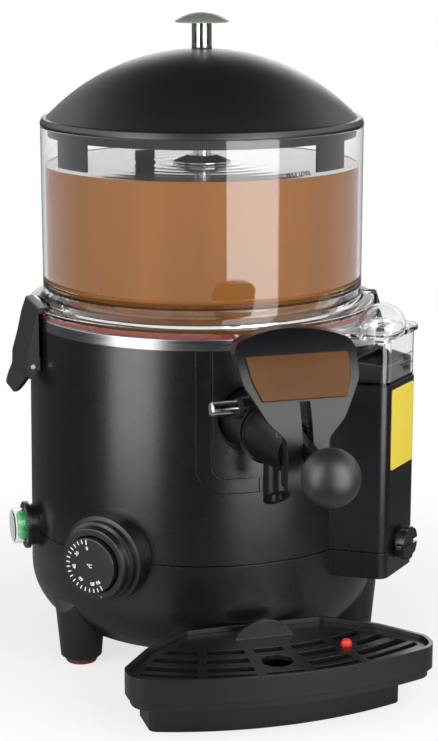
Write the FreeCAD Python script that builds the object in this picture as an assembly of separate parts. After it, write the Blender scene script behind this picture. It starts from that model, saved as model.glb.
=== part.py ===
"""Countertop hot chocolate dispenser: clear bowl in a water bath, stirrer, lever tap and drip tray.

Frame: origin on the bench below the axis of the drum. +X is the machine's right seen from the
front, -Y is its front, +Z is up. Every length is in millimetres and every angle in degrees.
An azimuth is turned about +Z from the front, and grows toward +X.
"""
import FreeCAD, Part
import math
import os

Vec = FreeCAD.Vector
ORIGIN = Vec(0, 0, 0)
UP = Vec(0, 0, 1)
RIGHT = Vec(1, 0, 0)
FRONT = Vec(0, -1, 0)

# ---------------------------------------------------------------------------------------------
# Driving dimensions
# ---------------------------------------------------------------------------------------------
# Clearances
fit = 0.05                # radial running or push fit of shafts, pins and seals
slip = 0.3                # gap between pieces that are put together by hand
free_play = 1.0           # gap between a moving piece and what it only passes
edge_radius = 1.0         # rounding of moulded edges
fine_edge = 0.8           # rounding of the thinner ones

# Base moulding
base_radius = 129.7
base_floor_z = 14.0
belly_depth = 48.0        # radial half-axis of the rounded belly
belly_height = 45.0       # upright half-axis of the rounded belly
base_side_height = 32.0   # straight side above the belly
seam_gap = 0.6
shell_wall = 3.0
spigot_height = 8.0       # rim of the base that centres the body

# Feet
foot_azimuths = (-67.6, 67.6, 135.0, -135.0)
foot_inset = 15.7         # from the base's side in to the legs' centres
foot_radius = 15.0
foot_flare = 4.0          # growth of the leg's radius up to its root
foot_shoulder_drop = 20.0  # from the belly's widest line down to where the leg starts to fade into it
foot_root_drop = 9.0      # and down to where it has faded
foot_fade = 1.7           # of the faded leg behind the base's side
pad_radius = 12.5
pad_height = 3.2
foot_chamfer = 2.0

# Bottom cover
cover_inset = 7.7         # from the edge of the base's flat floor
cover_thickness = 2.0
cover_lap = 8.0           # overlap of the cover and the floor it closes
vent_length = 44.0
vent_width = 4.0
vent_pitch = 10.0
vent_count = 7

# Body
seam_step = 0.4
body_draft = 1.9          # by how much the body's radius shrinks toward its top
body_height = 152.9

# Front panel
panel_half_width = 40.0
panel_drop = 101.0        # from the body's top edge down to the panel's lower edge
panel_corner_radius = 20.0
panel_lip = 5.0
panel_lip_thickness = 1.6
panel_line_inset = 10.5
panel_line_width = 1.0
panel_line_depth = 0.8
panel_tick_offsets = (3.2, 6.2)

# Water bath
rim_proud = 0.1           # of the rim beyond the body's top edge
rim_height = 8.0
tank_ledge_width = 15.5
tank_wall = 1.5
tank_depth = 66.5         # from the body's top edge to the tank's floor
tank_corner_radius = 6.0

# Bowl
bowl_gasket_gap = 0.5
bowl_flange_width = 10.3
bowl_wall = 3.0
bowl_height = 133.0       # from the flange's underside to the rim
bowl_flange_thickness = 6.0
bowl_shelf_rise = 21.0
neck_gap = 8.0            # from the tank's side to the bowl's neck
bowl_neck_depth = 31.0
bowl_flare_height = 11.0
bowl_flange_edge = 1.2
bowl_flare_step = 2.0
bowl_flare_radius = 3.0
bowl_foot_radius = 5.0
bowl_shelf_radius = 2.5
gasket_inset = 5.5        # from the flange's edge to the gasket's middle
gasket_width = 4.0
gasket_height = 2.6
latch_pocket_depth = 2.5
latch_pocket_gap = 0.8    # from the bowl's wall to the pockets for the hooks

# Outlet from the bowl to the tap
outlet_radius = 10.0
outlet_wall = 3.0
outlet_inset = 21.0       # from the neck's inside to the drain's centre
outlet_collar_radius = 17.0
outlet_collar_height = 3.0
outlet_gasket_height = 1.5
outlet_seat_depth = 30.0  # of the outlet's end behind the socket's face

# Tap
tap_drop = 47.0           # from the body's top edge to the tap's bore
tap_root_flange_radius = 31.0
tap_root_flange_depth = 4.5
tap_root_start_radius = 24.0
tap_root_end_radius = 22.0
tap_root_reach = 35.3     # from the base's side to the face between socket and barrel
tap_slope = 1.5           # of the barrel's middle below the bore at its root, and above it at its end
tap_tail_length = 17.0
tap_tail_radius = 15.0
tap_shoulder_radius = 20.0
tap_shoulder_step = 0.8
tap_shoulder_length = 2.5
tap_body_length = 64.5
tap_end_radius = 16.3
tap_overrun = 1.3         # by which the sloping barrel is drawn longer before its ends are cut upright
tap_bore_radius = 10.0
spout_setback = 13.5      # from the socket's face to the spout
spout_radius = 9.0
spout_bore_radius = 5.5
spout_drop = 50.2
spout_slant = 14.5        # of the mouth's front edge above its back edge
lock_pin_setback = 10.0   # from the socket's face back to the locking pin
lock_pin_rise = 14.5
lock_pin_radius = 4.0
lock_grip_radius = 5.4
lock_pin_head = 2.0
lock_boss_radius = 7.5
lock_boss_half_length = 18.0
lock_collar_length = 2.5
lock_collar_radius = 6.4
lock_pin_reach = 38.0
lock_pin_chamfer = 1.2

# Lever and piston
pivot_setback = 11.5      # from the tap's end back to the lever's pivot
pivot_rise = 9.5
pivot_pin_radius = 3.0
pin_half_length = 13.8
lever_hub_radius = 6.0
lever_hub_width = 10.0
lever_side_play = 0.5
lever_slot_length = 26.5  # from the tap's end back along its top
lever_bar_width = 6.0
lever_bar_height = 10.0
lever_stem_radius = 3.6
lever_stem_past_centre = 2.0
lever_nose_arm_height = 4.6
lever_reach = 65.7        # from the pivot forward to the ball's centre
lever_drop = 8.9
ball_radius = 18.6
ball_flat_depth = 1.5
nose_length = 12.0
nose_radius = 4.0
nose_rest_angle = 25.0
piston_overlap = 7.5      # of the closed piston behind the spout's centre
piston_setback = 10.9     # from the tap's end back to the piston's front
piston_step_gap = 2.0     # from the lever's slot back to the piston's step
ring_section = 1.6
ring_offsets = (3.5, 16.5)

# Shield plate with its label
shield_gap = 13.5         # from the tap's end to the shield's outermost line
shield_axis_drop = 7.5    # of the shield's curvature below the bore
shield_radius = 109.0
shield_thickness = 7.0
shield_neck_half_width = 14.0
shield_neck_drop = 19.5   # lower end of the neck below the bore
shield_neck_height = 36.0
shield_waist_height = 33.0
shield_hip_half_width = 25.5
shield_hip_height = 44.5
shield_brow_half_width = 38.8
shield_brow_height = 68.0
shield_head_half_width = 41.0
shield_head_height = 89.6
shield_crown_height = 101.9
shield_crown_radius = 111.0
shield_foot_corner = 2.0
shield_waist_corner = 9.0
shield_hip_corner = 22.0
shield_brow_corner = 14.0
shield_head_corner = 8.0
shield_slot_rise = 18.5   # lower end of the lever's slot above the neck's end
shield_slot_length = 37.5
shield_screw_seat_gap = 5.5
shield_screw_drop = 13.1
shield_screw_length = 14.0
label_rise = 1.2
label_foot_half_width = 28.0
label_brow_half_width = 33.0
label_top_half_width = 34.3
label_corner = 1.5
label_brow_corner = 8.0
label_foot_height = 57.8  # above the neck's end, as are the next two
label_brow_height = 70.5
label_top_height = 83.3

# Lid
lid_gap = 0.3
lid_overhang = 0.2        # beyond the bowl's wall
lid_dome_inset = 0.3      # from the lid's edge in to the dome's foot
lid_edge_height = 1.2
lid_rim_height = 4.6
lid_rim_width = 12.0
lid_rim_step = 1.5
lid_dome_height = 53.2
lid_wall = 2.5
lid_boss_radius = 7.4
lid_boss_rise = 0.9
skirt_gap = 2.2           # from the bowl's inside
skirt_wall = 2.0
skirt_drop = 7.3
leg_drop = 26.3
skirt_legs = ((-70.0, 35.0), (37.0, 32.0), (-172.0, 16.0))
knob_post_radius = 7.35
knob_post_height = 17.6
knob_stud_radius = 3.0
knob_stud_length = 12.0
knob_nut_half_width = 5.5
knob_nut_height = 3.0
knob_radius = 19.2
knob_height = 7.0
knob_edge = 0.9           # height of its rim

# Stirrer and its drive
drive_shaft_radius = 5.0
drive_shaft_rise = 26.0   # above the bowl's shelf
seal_wall = 4.0
seal_flange = 2.0
seal_overhang = 2.0
column_radius = 6.6
column_tip = 2.0
column_headroom = 11.5    # from the column's top to the dome's apex
disc_radius = 21.5
disc_below_rim = 27.8
disc_height = 5.0
disc_edge = 1.0
disc_hub_wall = 4.0
paddle_gap = 6.0          # from the blade's tip to the neck's inside
paddle_height = 34.0
paddle_step = 10.0        # the blade's inner part lies this much lower than its tip
paddle_thickness = 3.0
paddle_corner_radius = 3.0
paddle_hub_radius = 14.0
paddle_hub_height = 12.0
paddle_window = (30.0, 74.0)
paddle_window_rim = 7.0
scraper_inset = 25.0      # from the blade's tip to the scraper
scraper_width = 9.0
scraper_rise = 64.0       # top of the scraper above the bowl's shelf
coupling_radius = 10.0
coupling_rise = 18.0      # from the motor plate up to the joint of the two shafts
coupling_half_length = 11.0
output_shaft_radius = 4.0
motor_radius = 30.0
motor_height = 58.0
motor_edge_radius = 4.0
gearbox_radius = 36.0
gearbox_height = 34.0
bracket_radius = 62.0
bracket_plate = 3.0
bracket_drop = 42.0       # from the tank's floor down to the motor plate
bracket_post_radius = 5.0
bracket_post_inset = 8.0
motor_screw_inset = 7.0

# Heater and its safety cut-out
heater_ring_radius = 56.0
heater_rod_radius = 4.0
heater_rise = 8.0
heater_terminal_spread = 22.0
heater_terminal_drop = 12.0
safety_cutout_radius = 9.0
safety_cutout_height = 8.0
safety_cutout_offset = 58.0
safety_ear_reach = 13.5
safety_ear_half_width = 3.0
safety_ear_thickness = 1.0

# Temperature dial; each step of its bezel is (in from the flange's edge, out from the base's side)
dial_azimuth = -46.0
dial_above_seam = 3.4
dial_radius = 20.0
dial_taper = 1.0
dial_stand_out = 27.3     # of the dial's face beyond the base's side
dial_length = 16.0
dial_face_wall = 5.0
bezel_bore_gap = 0.8
bezel_flange_radius = 31.4
bezel_steps = ((0.0, 11.3), (2.9, 11.8), (2.9, 16.3), (4.9, 17.8), (5.9, 22.8))
bezel_sleeve_wall = 2.6
bezel_sleeve_depth = 17.7
bezel_root_depth = 11.7
thermostat_depth = 26.0
thermostat_width = 36.0
thermostat_shaft_radius = 3.0

# Mains switch
switch_azimuth = -90.0
switch_above_seam = 2.0
switch_flange_radius = 17.4
switch_stand_out = 8.3    # of the flange's face beyond the base's side
switch_flange_thickness = 3.4
switch_boss_radius = 15.2
switch_root_depth = 9.7
switch_bore_radius = 13.2
switch_cap_radius = 13.0
switch_cap_wall = 1.2
switch_cap_round = 2.0
switch_cap_rise = 8.6
switch_body_depth = 26.0
rocker_radius = 10.4
rocker_thickness = 6.0
rocker_sink = 0.5         # of the pivot behind the flange's face
rocker_back = 1.5         # from the pivot to the rocker's back
rocker_ridge_radius = 2.0
rocker_ridge_inset = 2.4
rocker_rib_half_width = 1.0
rocker_rib_gap = 0.8

# Water box at the side, with its clear cup
box_azimuth = 44.0
box_reach = 33.3          # of the box's face beyond the base's side
box_face_half_width = 24.5
box_root_depth = 11.7
box_splay = 14.3
box_corner_radius = 8.0
box_below_seam = 19.0
box_top_drop = 31.5       # from the body's top edge
box_wall = 2.6
cup_inset = 0.8
cup_wall = 2.0
cup_height = 33.0
cup_body_gap = 1.6
cup_port_radius = 8.0
cup_port_inset = 17.0
insert_height = 16.0
insert_slope = 5.0
cup_lid_thickness = 3.6
cup_lid_overhang = 1.8
cup_lid_rim = 3.0
cup_knob_radius = 17.0
cup_knob_inset = 16.6
cup_knob_wall = 1.8
water_pipe_radius = 6.0
water_pipe_wall = 1.2
water_pipe_drop = 23.0    # from the box's top
drain_above_seam = 3.0
drain_tube_radius = 7.0
drain_tube_tail = 4.0
drain_collar_step = 2.5
drain_wall = 2.5
drain_cap_radius = 12.0
drain_cap_reach = 9.0     # of its face beyond the box's face
drain_cap_length = 7.0
drain_coin_slot = (3.2, 2.5)       # width and depth
drain_notch_radius = 2.2
drain_notch_step = 0.9    # of the notches' middles beyond the cap's side
drain_notch_count = 6
drain_notch_setback = 1.5
notice_left = -17.8
notice_right = 18.5
notice_drop = 3.5         # from the box's top
notice_height = 58.5
notice_thickness = 0.5
notice_corner_radius = 2.0

# Latches; each line runs through (out, up, rounding) from the pivot
latch_azimuths = (90.0, -90.0)
latch_width = 50.0
latch_wall = 2.6
latch_pivot_gap = 5.5     # from the rim's edge to the pivot
latch_pivot_drop = 26.2   # from the body's top edge to the pivot
latch_pin_radius = 1.75
latch_hook_gap = 1.8      # from the bowl's wall to the hook's tip
latch_hook_thickness = 3.0
latch_gap = 0.8
latch_tail_reach = 13.3
latch_tail_drop = 20.5
latch_tail_corner = 15.0
latch_back_line = ((-10.6, 42.9, 1.0), (-5.2, 42.2, 2.0), (-1.6, 31.7, 20.0), (1.8, 16.7, 30.0),
                   (5.8, 2.7, 12.0), (6.2, -7.3, 8.0))
latch_front_line = ((3.4, -8.6, 1.0), (-0.4, -8.6, 1.0), (-2.4, -5.1, 2.0))
latch_pocket_line = ((3.4, -9.6), (3.4, -7.3), (3.0, 2.3), (-1.0, 16.1), (-4.1, 29.7))
latch_knuckle_rise = 5.4
latch_knuckle_radius = 8.0
hook_play = 0.4
bracket_half_width = 19.0
bracket_eye_radius = 2.9
bracket_root_depth = 6.0
bracket_root_rise = 3.0
bracket_tip_radius = 2.3
bracket_nose = 0.2        # of the eye's corners beyond its radius

# Drip tray, standing in front of the machine
tray_gap = 0.5            # from the base to the tray that is pushed up to it
tray_depth = 96.3
tray_front_radius = 290.0
tray_half_width = 107.5
tray_back_half_width = 50.0
tray_side_length = 20.0   # from the front corner back to where the side turns in
tray_hip_half_width = 84.0
tray_hip_depth = 25.3     # from the back edge
tray_height = 48.0
tray_band_z = 25.0
tray_wall = 2.6
tray_floor = 2.6
tray_base_insets = (18.0, 14.0, 26.0, 6.0)  # at the side, hip, front and back
tray_bevel = 6.0          # height of the bevel under the band
tray_bevel_insets = (3.0, 3.0, 3.0, 1.0)
tray_corner_radius = 15.0
tray_side_radius = 10.0
tray_hip_radius = 25.0
tray_heel_radius = 8.0

# Drip grid and level float
grid_drop = 3.2
grid_thickness = 3.6
grid_gap = 0.6
grid_ledge = 3.0
grid_rib = 6.4            # radial bars, and the border around the slots
grid_turn = -1.0          # of the slot pattern about the drum's axis
grid_bar_azimuths = (-15.2, -4.5, 4.5, 15.2)
grid_rings = ((39.5, 8.0), (54.9, 8.0), (70.3, 8.0), (82.6, 5.4))   # from the tray's back, and width
grid_hub_half_width = 15.0
grid_hub_back = 50.0      # from the tray's back to the solid field around the drain hole
grid_hub_front = 80.0
drain_hole_radius = 10.8
drain_hole_setback = 32.0  # from the tray's front edge
float_x = 51.0
float_setback = 46.0      # from the tray's front edge
float_stem_radius = 3.9
float_disc_radius = 11.0
float_disc_height = 9.0
float_collar = 3.0
float_show = 0.8
tab_centre = 1.5
tab_width = 42.0
tab_height = 12.5
tab_thickness = 3.0
tab_forward = 18.0        # from the tray's back edge to the tab

# Cable inlet and terminals at the rear
gland_z = 40.0
gland_radius = 9.0
gland_bore_radius = 4.0
gland_nut_radius = 12.0
gland_nut_setback = 4.0
gland_stand_out = 4.3
gland_depth = 18.0
terminal_length = 42.0
terminal_width = 12.0
terminal_height = 16.0
terminal_inset = 8.0      # from the cover's opening to the block's back
terminal_count = 5
terminal_pitch = 8.0
terminal_well_radius = 2.4
terminal_well_depth = 7.0

# Fasteners
screw_radius = 2.0
screw_head_radius = 3.8
screw_head_height = 2.2
screw_length = 8.0
motor_screw_length = 10.0

# ---------------------------------------------------------------------------------------------
# Dependent dimensions
# ---------------------------------------------------------------------------------------------
# Drum
seam_z = base_floor_z + belly_height + base_side_height
body_foot_radius = base_radius - seam_step
body_top_radius = body_foot_radius - body_draft
body_foot_z = seam_z + seam_gap
body_top_z = body_foot_z + body_height
foot_circle_radius = base_radius - foot_inset
foot_root_z = base_floor_z + belly_height - foot_root_drop
foot_shoulder_z = base_floor_z + belly_height - foot_shoulder_drop
cover_radius = base_radius - belly_depth - cover_inset
cover_opening_radius = cover_radius - cover_lap
cover_screw_radius = cover_radius - cover_lap / 2
terminal_back = cover_opening_radius - terminal_inset

# Water bath and bowl
rim_radius = body_top_radius + rim_proud
rim_top_z = body_top_z + rim_height
tank_radius = rim_radius - tank_ledge_width
tank_outer_radius = tank_radius + tank_wall
tank_floor_z = body_top_z - tank_depth
tank_bottom_z = tank_floor_z - tank_wall
bowl_radius = rim_radius - bowl_flange_width
bowl_inner_radius = bowl_radius - bowl_wall
bowl_neck_radius = tank_radius - neck_gap
neck_inner_radius = bowl_neck_radius - bowl_wall
bowl_z = rim_top_z + bowl_gasket_gap
bowl_flange_top_z = bowl_z + bowl_flange_thickness
bowl_rim_z = bowl_z + bowl_height
bowl_shelf_z = bowl_z + bowl_shelf_rise
bowl_floor_z = bowl_z - bowl_neck_depth
gasket_radius = rim_radius - gasket_inset
outlet_offset = neck_inner_radius - outlet_inset
seal_radius = drive_shaft_radius + seal_wall

# Tap, lever and shield
tap_z = body_top_z - tap_drop
tap_root_z = tap_z - tap_slope
tap_end_z = tap_z + tap_slope
tap_split = base_radius + tap_root_reach
tap_end = tap_split + tap_body_length
tap_root_flange_front = tank_outer_radius + tap_root_flange_depth
outlet_end = tap_split - outlet_seat_depth
spout_forward = tap_split + spout_setback
spout_bottom_z = tap_z - spout_drop
lock_pin_forward = tap_split - lock_pin_setback
lock_pin_z = tap_z + lock_pin_rise
pivot_forward = tap_end - pivot_setback
pivot_z = tap_z + pivot_rise
ball_forward = pivot_forward + lever_reach
ball_z = pivot_z - lever_drop
lever_slot_back = tap_end - lever_slot_length
piston_back = spout_forward - piston_overlap
piston_front = tap_end - piston_setback
piston_step = lever_slot_back - piston_step_gap
ring_places = [piston_back + offset for offset in ring_offsets]
shield_front = tap_end + shield_gap
shield_axis_forward = shield_front - shield_radius
shield_axis_z = tap_z - shield_axis_drop
shield_foot_z = tap_z - shield_neck_drop
shield_slot_z = shield_foot_z + shield_slot_rise
shield_screw_seat = tap_end + shield_screw_seat_gap
shield_screw_z = tap_z - shield_screw_drop

# Lid, stirrer and drive
lid_radius = bowl_radius + lid_overhang
lid_z = bowl_rim_z + lid_gap
lid_top_z = lid_z + lid_dome_height
lid_dome_radius = ((lid_radius - lid_dome_inset) ** 2 + lid_dome_height ** 2) / (2 * lid_dome_height)
skirt_radius = bowl_inner_radius - skirt_gap
stirrer_z = bowl_floor_z + bowl_wall + seal_overhang + slip
drive_shaft_top_z = bowl_shelf_z + drive_shaft_rise
column_top_z = lid_top_z - column_headroom
disc_z = bowl_rim_z - disc_below_rim
paddle_reach = neck_inner_radius - paddle_gap
scraper_radius = paddle_reach - scraper_inset
scraper_top_z = bowl_shelf_z + scraper_rise
motor_plate_z = tank_bottom_z - bracket_drop
coupling_joint_z = motor_plate_z + coupling_rise
bracket_post_circle = bracket_radius - bracket_post_inset

# Dial, switch and water box
dial_z = seam_z + dial_above_seam
dial_face = base_radius + dial_stand_out
dial_back = dial_face - dial_length
bezel_bore_radius = dial_radius + bezel_bore_gap
bezel_sleeve_radius = bezel_bore_radius + bezel_sleeve_wall
bezel_sleeve_back = base_radius - bezel_sleeve_depth
switch_z = seam_z + switch_above_seam
switch_flange_face = base_radius + switch_stand_out
switch_flange_back = switch_flange_face - switch_flange_thickness
switch_cap_face = switch_flange_face + switch_cap_rise
rocker_pivot = switch_flange_face - rocker_sink
box_slope = math.tan(math.radians(box_splay))
box_face = base_radius + box_reach
box_root = base_radius - box_root_depth
box_bottom_z = seam_z - box_below_seam
box_top_z = body_top_z - box_top_drop
cup_z = box_top_z
cup_top_z = cup_z + cup_height
cup_port_forward = box_face - cup_port_inset
cup_knob_forward = box_face - cup_knob_inset
water_pipe_z = box_top_z - water_pipe_drop
drain_z = seam_z + drain_above_seam
drain_cap_face = box_face + drain_cap_reach
drain_cap_back = drain_cap_face - drain_cap_length

# Latches, tray and gland
latch_pivot_radius = rim_radius + latch_pivot_gap
latch_pivot_z = body_top_z - latch_pivot_drop
latch_hook_reach = bowl_radius + latch_hook_gap
latch_tail_tip = latch_pivot_radius + latch_tail_reach
latch_tail_z = latch_pivot_z - latch_tail_drop
belly_rise = (base_floor_z + belly_height - tray_height) / belly_height
tray_back = base_radius - belly_depth + belly_depth * math.sqrt(1 - belly_rise ** 2) + tray_gap
tray_front = tray_back + tray_depth
tray_bow = tray_front - tray_front_radius
tray_side_forward = tray_bow + math.sqrt(tray_front_radius ** 2 - tray_half_width ** 2) - tray_side_length
tray_hip_forward = tray_back + tray_hip_depth
tray_grid_top_z = tray_height - grid_drop
tray_grid_z = tray_grid_top_z - grid_thickness
float_place = Vec(float_x, float_setback - tray_front, 0)
gland_reach = base_radius + gland_stand_out


# ---------------------------------------------------------------------------------------------
# Shape helpers
# ---------------------------------------------------------------------------------------------
def level(z):
    """Plan view at height z: (x, y)."""
    return lambda u, v: Vec(u, v, z)


def facing(y):
    """Front view at depth y: (x, z)."""
    return lambda u, v: Vec(u, y, v)


def sideways(x):
    """Side view at x: (distance forward, z)."""
    return lambda u, v: Vec(x, -u, v)


def outward(z):
    """Section through an axis that runs forward at height z: (radius, distance forward)."""
    return lambda u, v: Vec(u, -v, z)


def corner_arc(before, corner, after, radius):
    """Start, middle and end of the arc that rounds a corner."""
    toward_before = (before - corner).normalize()
    toward_after = (after - corner).normalize()
    half = toward_before.getAngle(toward_after) / 2
    reach = radius / math.tan(half)
    middle_line = (toward_before + toward_after).normalize()
    middle = corner + middle_line * (radius / math.sin(half) - radius)
    return corner + toward_before * reach, middle, corner + toward_after * reach


def closed_wire(stops):
    """Closed wire through single points and through arcs, each given by three points."""
    edges = []
    last = stops[-1][-1]
    for stop in stops:
        if last.distanceToPoint(stop[0]) > 1e-6:
            edges.append(Part.makeLine(last, stop[0]))
        if len(stop) == 3:
            edges.append(Part.Arc(*stop).toShape())
        last = stop[-1]
    return Part.Wire(edges)


def rounded_wire(points, place):
    """Closed wire through (u, v) or (u, v, corner radius) points."""
    corners = [place(point[0], point[1]) for point in points]
    stops = []
    for index, point in enumerate(points):
        if len(point) == 3:
            after = corners[(index + 1) % len(corners)]
            stops.append(corner_arc(corners[index - 1], corners[index], after, point[2]))
        else:
            stops.append((corners[index],))
    return closed_wire(stops)


def extruded(points, place, push):
    return Part.Face(rounded_wire(points, place)).extrude(push)


def spun(points, place=facing(0), centre=ORIGIN, axis=UP):
    return Part.Face(rounded_wire(points, place)).revolve(centre, axis, 360)


def rod(radius, start, end):
    return Part.makeCylinder(radius, start.distanceToPoint(end), start, end - start)


def pipe(outer, inner, start, end):
    return rod(outer, start, end).cut(rod(inner, start, end))


def upright(radius, low_z, high_z):
    """Rod on the drum's axis."""
    return rod(radius, UP * low_z, UP * high_z)


def cone(start_radius, end_radius, start, end):
    length = start.distanceToPoint(end)
    return Part.makeCone(start_radius, end_radius, length, start, end - start)


def block(x_range, y_range, z_range):
    corner = Vec(x_range[0], y_range[0], z_range[0])
    size = [high - low for low, high in (x_range, y_range, z_range)]
    return Part.makeBox(size[0], size[1], size[2], corner)


def turned(shape, azimuth):
    """A piece drawn at the front, carried round the drum's axis to its azimuth."""
    result = shape.copy()
    result.rotate(ORIGIN, UP, azimuth)
    return result


def spun_outward(points, azimuth, z):
    """Solid of revolution about the outward axis at an azimuth; points are (radius, distance out)."""
    return turned(spun(points, outward(z), UP * z, FRONT), azimuth)


def joined(first, *others):
    return first.fuse(list(others)).removeSplitter()


def forward(distance, z, x=0.0):
    return Vec(x, -distance, z)


def screw(head, direction, length):
    """Pan-head screw whose head's underside is at `head` and whose shank runs along `direction`."""
    along = Vec(direction).normalize()
    shank = rod(screw_radius, head, head + along * length)
    cap = rod(screw_head_radius, head - along * screw_head_height, head)
    return joined(shank, cap)


def export(name, *solids):
    shape = solids[0] if len(solids) == 1 else Part.makeCompound(list(solids))
    shape.exportStep("parts/" + name + ".step")


# ---------------------------------------------------------------------------------------------
# Drum surfaces that several pieces share
# ---------------------------------------------------------------------------------------------
def base_solid(inset, top_z):
    """Solid of the rounded base, shrunk by `inset`; its belly is a quarter of an ellipse."""
    centre = Vec(base_radius - belly_depth, 0, base_floor_z + belly_height)
    side = centre + Vec(belly_depth - inset, 0, 0)
    foot = centre - Vec(0, 0, belly_height - inset)
    if belly_depth > belly_height:
        ellipse = Part.Ellipse(side, foot, centre)
    else:
        ellipse = Part.Ellipse(foot, side, centre)
    corners = [foot, Vec(0, 0, foot.z), Vec(0, 0, top_z), Vec(side.x, 0, top_z), side]
    edges = [Part.makeLine(start, end) for start, end in zip(corners, corners[1:])]
    edges.append(Part.ArcOfEllipse(ellipse, 0, math.pi / 2).toShape())
    return Part.Face(Part.Wire(Part.__sortEdges__(edges))).revolve(ORIGIN, UP, 360)


def body_radius_at(z):
    return body_foot_radius - body_draft * (z - body_foot_z) / body_height


def body_solid(inset, low_z=body_foot_z, high_z=body_top_z):
    """Solid of the slightly tapered body, shrunk by `inset`."""
    return cone(body_radius_at(low_z) - inset, body_radius_at(high_z) - inset, UP * low_z, UP * high_z)


def drum_solid():
    return joined(base_solid(0, body_foot_z), body_solid(0))


# ---------------------------------------------------------------------------------------------
# Openings through the drum's wall
# ---------------------------------------------------------------------------------------------
def wall_hole(radius, z, azimuth=0.0):
    """Round opening at an azimuth, from the drum's axis out through its side."""
    return turned(rod(radius, forward(0, z), forward(base_radius + free_play, z)), azimuth)


def panel_prism(inset):
    half = panel_half_width - inset
    low = body_top_z - panel_drop + inset
    corner = panel_corner_radius - inset
    outline = [(-half, body_top_z), (-half, low, corner), (half, low, corner), (half, body_top_z)]
    return extruded(outline, facing(0), forward(base_radius + free_play, 0))


def shell_holes():
    """Everything that passes through the drum's wall or the box's face."""
    drain = rod(drain_tube_radius + fit, forward(base_radius, drain_z),
                forward(box_face + free_play, drain_z))
    inlet = rod(water_pipe_radius + fit, forward(tank_radius, water_pipe_z),
                forward(base_radius + box_wall, water_pipe_z))
    return [wall_hole(bezel_sleeve_radius + slip, dial_z, dial_azimuth),
            wall_hole(switch_bore_radius + slip, switch_z, switch_azimuth),
            wall_hole(gland_radius + fit, gland_z, 180),
            turned(drain, box_azimuth), turned(inlet, box_azimuth)]


# ---------------------------------------------------------------------------------------------
# Water box: the plan shape that its moulding, cup, insert and lid share
# ---------------------------------------------------------------------------------------------
def box_plan(face, half, corner, low_z, high_z):
    """Upright prism that widens from the box's face back to its root inside the drum."""
    root_half = half + (face - box_root) * box_slope
    points = [(-root_half, -box_root), (root_half, -box_root), (half, -face, corner), (-half, -face, corner)]
    return extruded(points, level(low_z), UP * (high_z - low_z))


def box_prism(inset, low_z, high_z, drum_gap):
    """The box's plan shrunk by `inset`, and cut back to the drum's side with a gap."""
    half = box_face_half_width - inset / math.cos(math.radians(box_splay))
    prism = box_plan(box_face - inset, half, box_corner_radius - inset, low_z, high_z)
    return prism.cut(upright(rim_radius + drum_gap, low_z, high_z))


def box_cavity(low_z, high_z):
    """Inside of the box moulding, from the drum's side out to the wall of its face."""
    prism = box_plan(box_face - box_wall, box_face_half_width - box_wall, box_corner_radius - box_wall,
                     low_z, high_z)
    return prism.cut(upright(base_radius + shell_wall, low_z, high_z))


# ---------------------------------------------------------------------------------------------
# Base moulding, feet and bottom cover
# ---------------------------------------------------------------------------------------------
def foot_leg(azimuth):
    foot = forward(foot_circle_radius, pad_height)
    ankle = forward(foot_circle_radius, pad_height + foot_chamfer)
    root = forward(foot_circle_radius, foot_root_z)
    toe = cone(pad_radius, foot_radius, foot, ankle)
    leg = cone(foot_radius, foot_radius + foot_flare, ankle, root)
    reach = foot_circle_radius + foot_radius + foot_flare
    below = upright(reach, 0, foot_shoulder_z)
    fade = cone(reach, base_radius - foot_fade, UP * foot_shoulder_z, UP * foot_root_z)
    return turned(joined(toe, leg.common(joined(below, fade))), azimuth)


def cover_screws():
    pattern = screw(forward(cover_screw_radius, base_floor_z), UP, screw_length)
    return [turned(pattern, 45 + 90 * turn) for turn in range(4)]


def base_shell():
    box = turned(box_prism(0, box_bottom_z, seam_z, -shell_wall), box_azimuth)
    legs = [foot_leg(azimuth) for azimuth in foot_azimuths]
    shell = joined(base_solid(0, seam_z), box, *legs)
    shell = shell.cut(base_solid(shell_wall, seam_z + free_play))
    shell = shell.cut(turned(box_cavity(box_bottom_z + box_wall, seam_z + free_play), box_azimuth))
    spigot_radius = body_foot_radius - shell_wall - slip
    spigot_bore = spigot_radius - shell_wall
    rib_z = seam_z - shell_wall
    spigot = pipe(spigot_radius, spigot_bore, UP * rib_z, UP * (seam_z + spigot_height))
    rib = pipe(base_radius - shell_wall / 2, spigot_bore, UP * rib_z, UP * seam_z)
    shell = joined(shell, spigot, rib)
    recess = upright(cover_radius + slip, 0, base_floor_z + cover_thickness)
    opening = upright(cover_opening_radius, 0, base_floor_z + shell_wall + free_play)
    return shell.cut([recess, opening] + cover_screws() + shell_holes())


def foot_pads():
    pad = cone(pad_radius - pad_height / 2, pad_radius, forward(foot_circle_radius, 0),
               forward(foot_circle_radius, pad_height))
    return [turned(pad, azimuth) for azimuth in foot_azimuths]


def bottom_cover():
    low = base_floor_z
    high = low + cover_thickness
    vents = []
    for index in range(vent_count):
        y = vent_pitch * (index - (vent_count - 1) / 2)
        vents.append(block((-vent_length / 2, vent_length / 2), (y - vent_width / 2, y + vent_width / 2),
                           (low, high)))
    return upright(cover_radius, low, high).cut(vents + cover_screws())


# ---------------------------------------------------------------------------------------------
# Body with the upper half of the water box, and the panel at its front
# ---------------------------------------------------------------------------------------------
def body_shell():
    box = turned(box_prism(0, body_foot_z, box_top_z, -shell_wall), box_azimuth)
    brackets = [turned(latch_bracket(), azimuth) for azimuth in latch_azimuths]
    shell = joined(body_solid(0), box, *brackets)
    shell = shell.cut(body_solid(shell_wall, body_foot_z - free_play, body_top_z + free_play))
    cavity = box_cavity(body_foot_z - free_play, box_top_z - box_wall)
    port = rod(cup_port_radius + fit, forward(cup_port_forward, box_top_z - box_wall),
               forward(cup_port_forward, box_top_z))
    cuts = [turned(cavity, box_azimuth), turned(port, box_azimuth), panel_prism(0)]
    return shell.cut(cuts + shell_holes())


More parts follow.
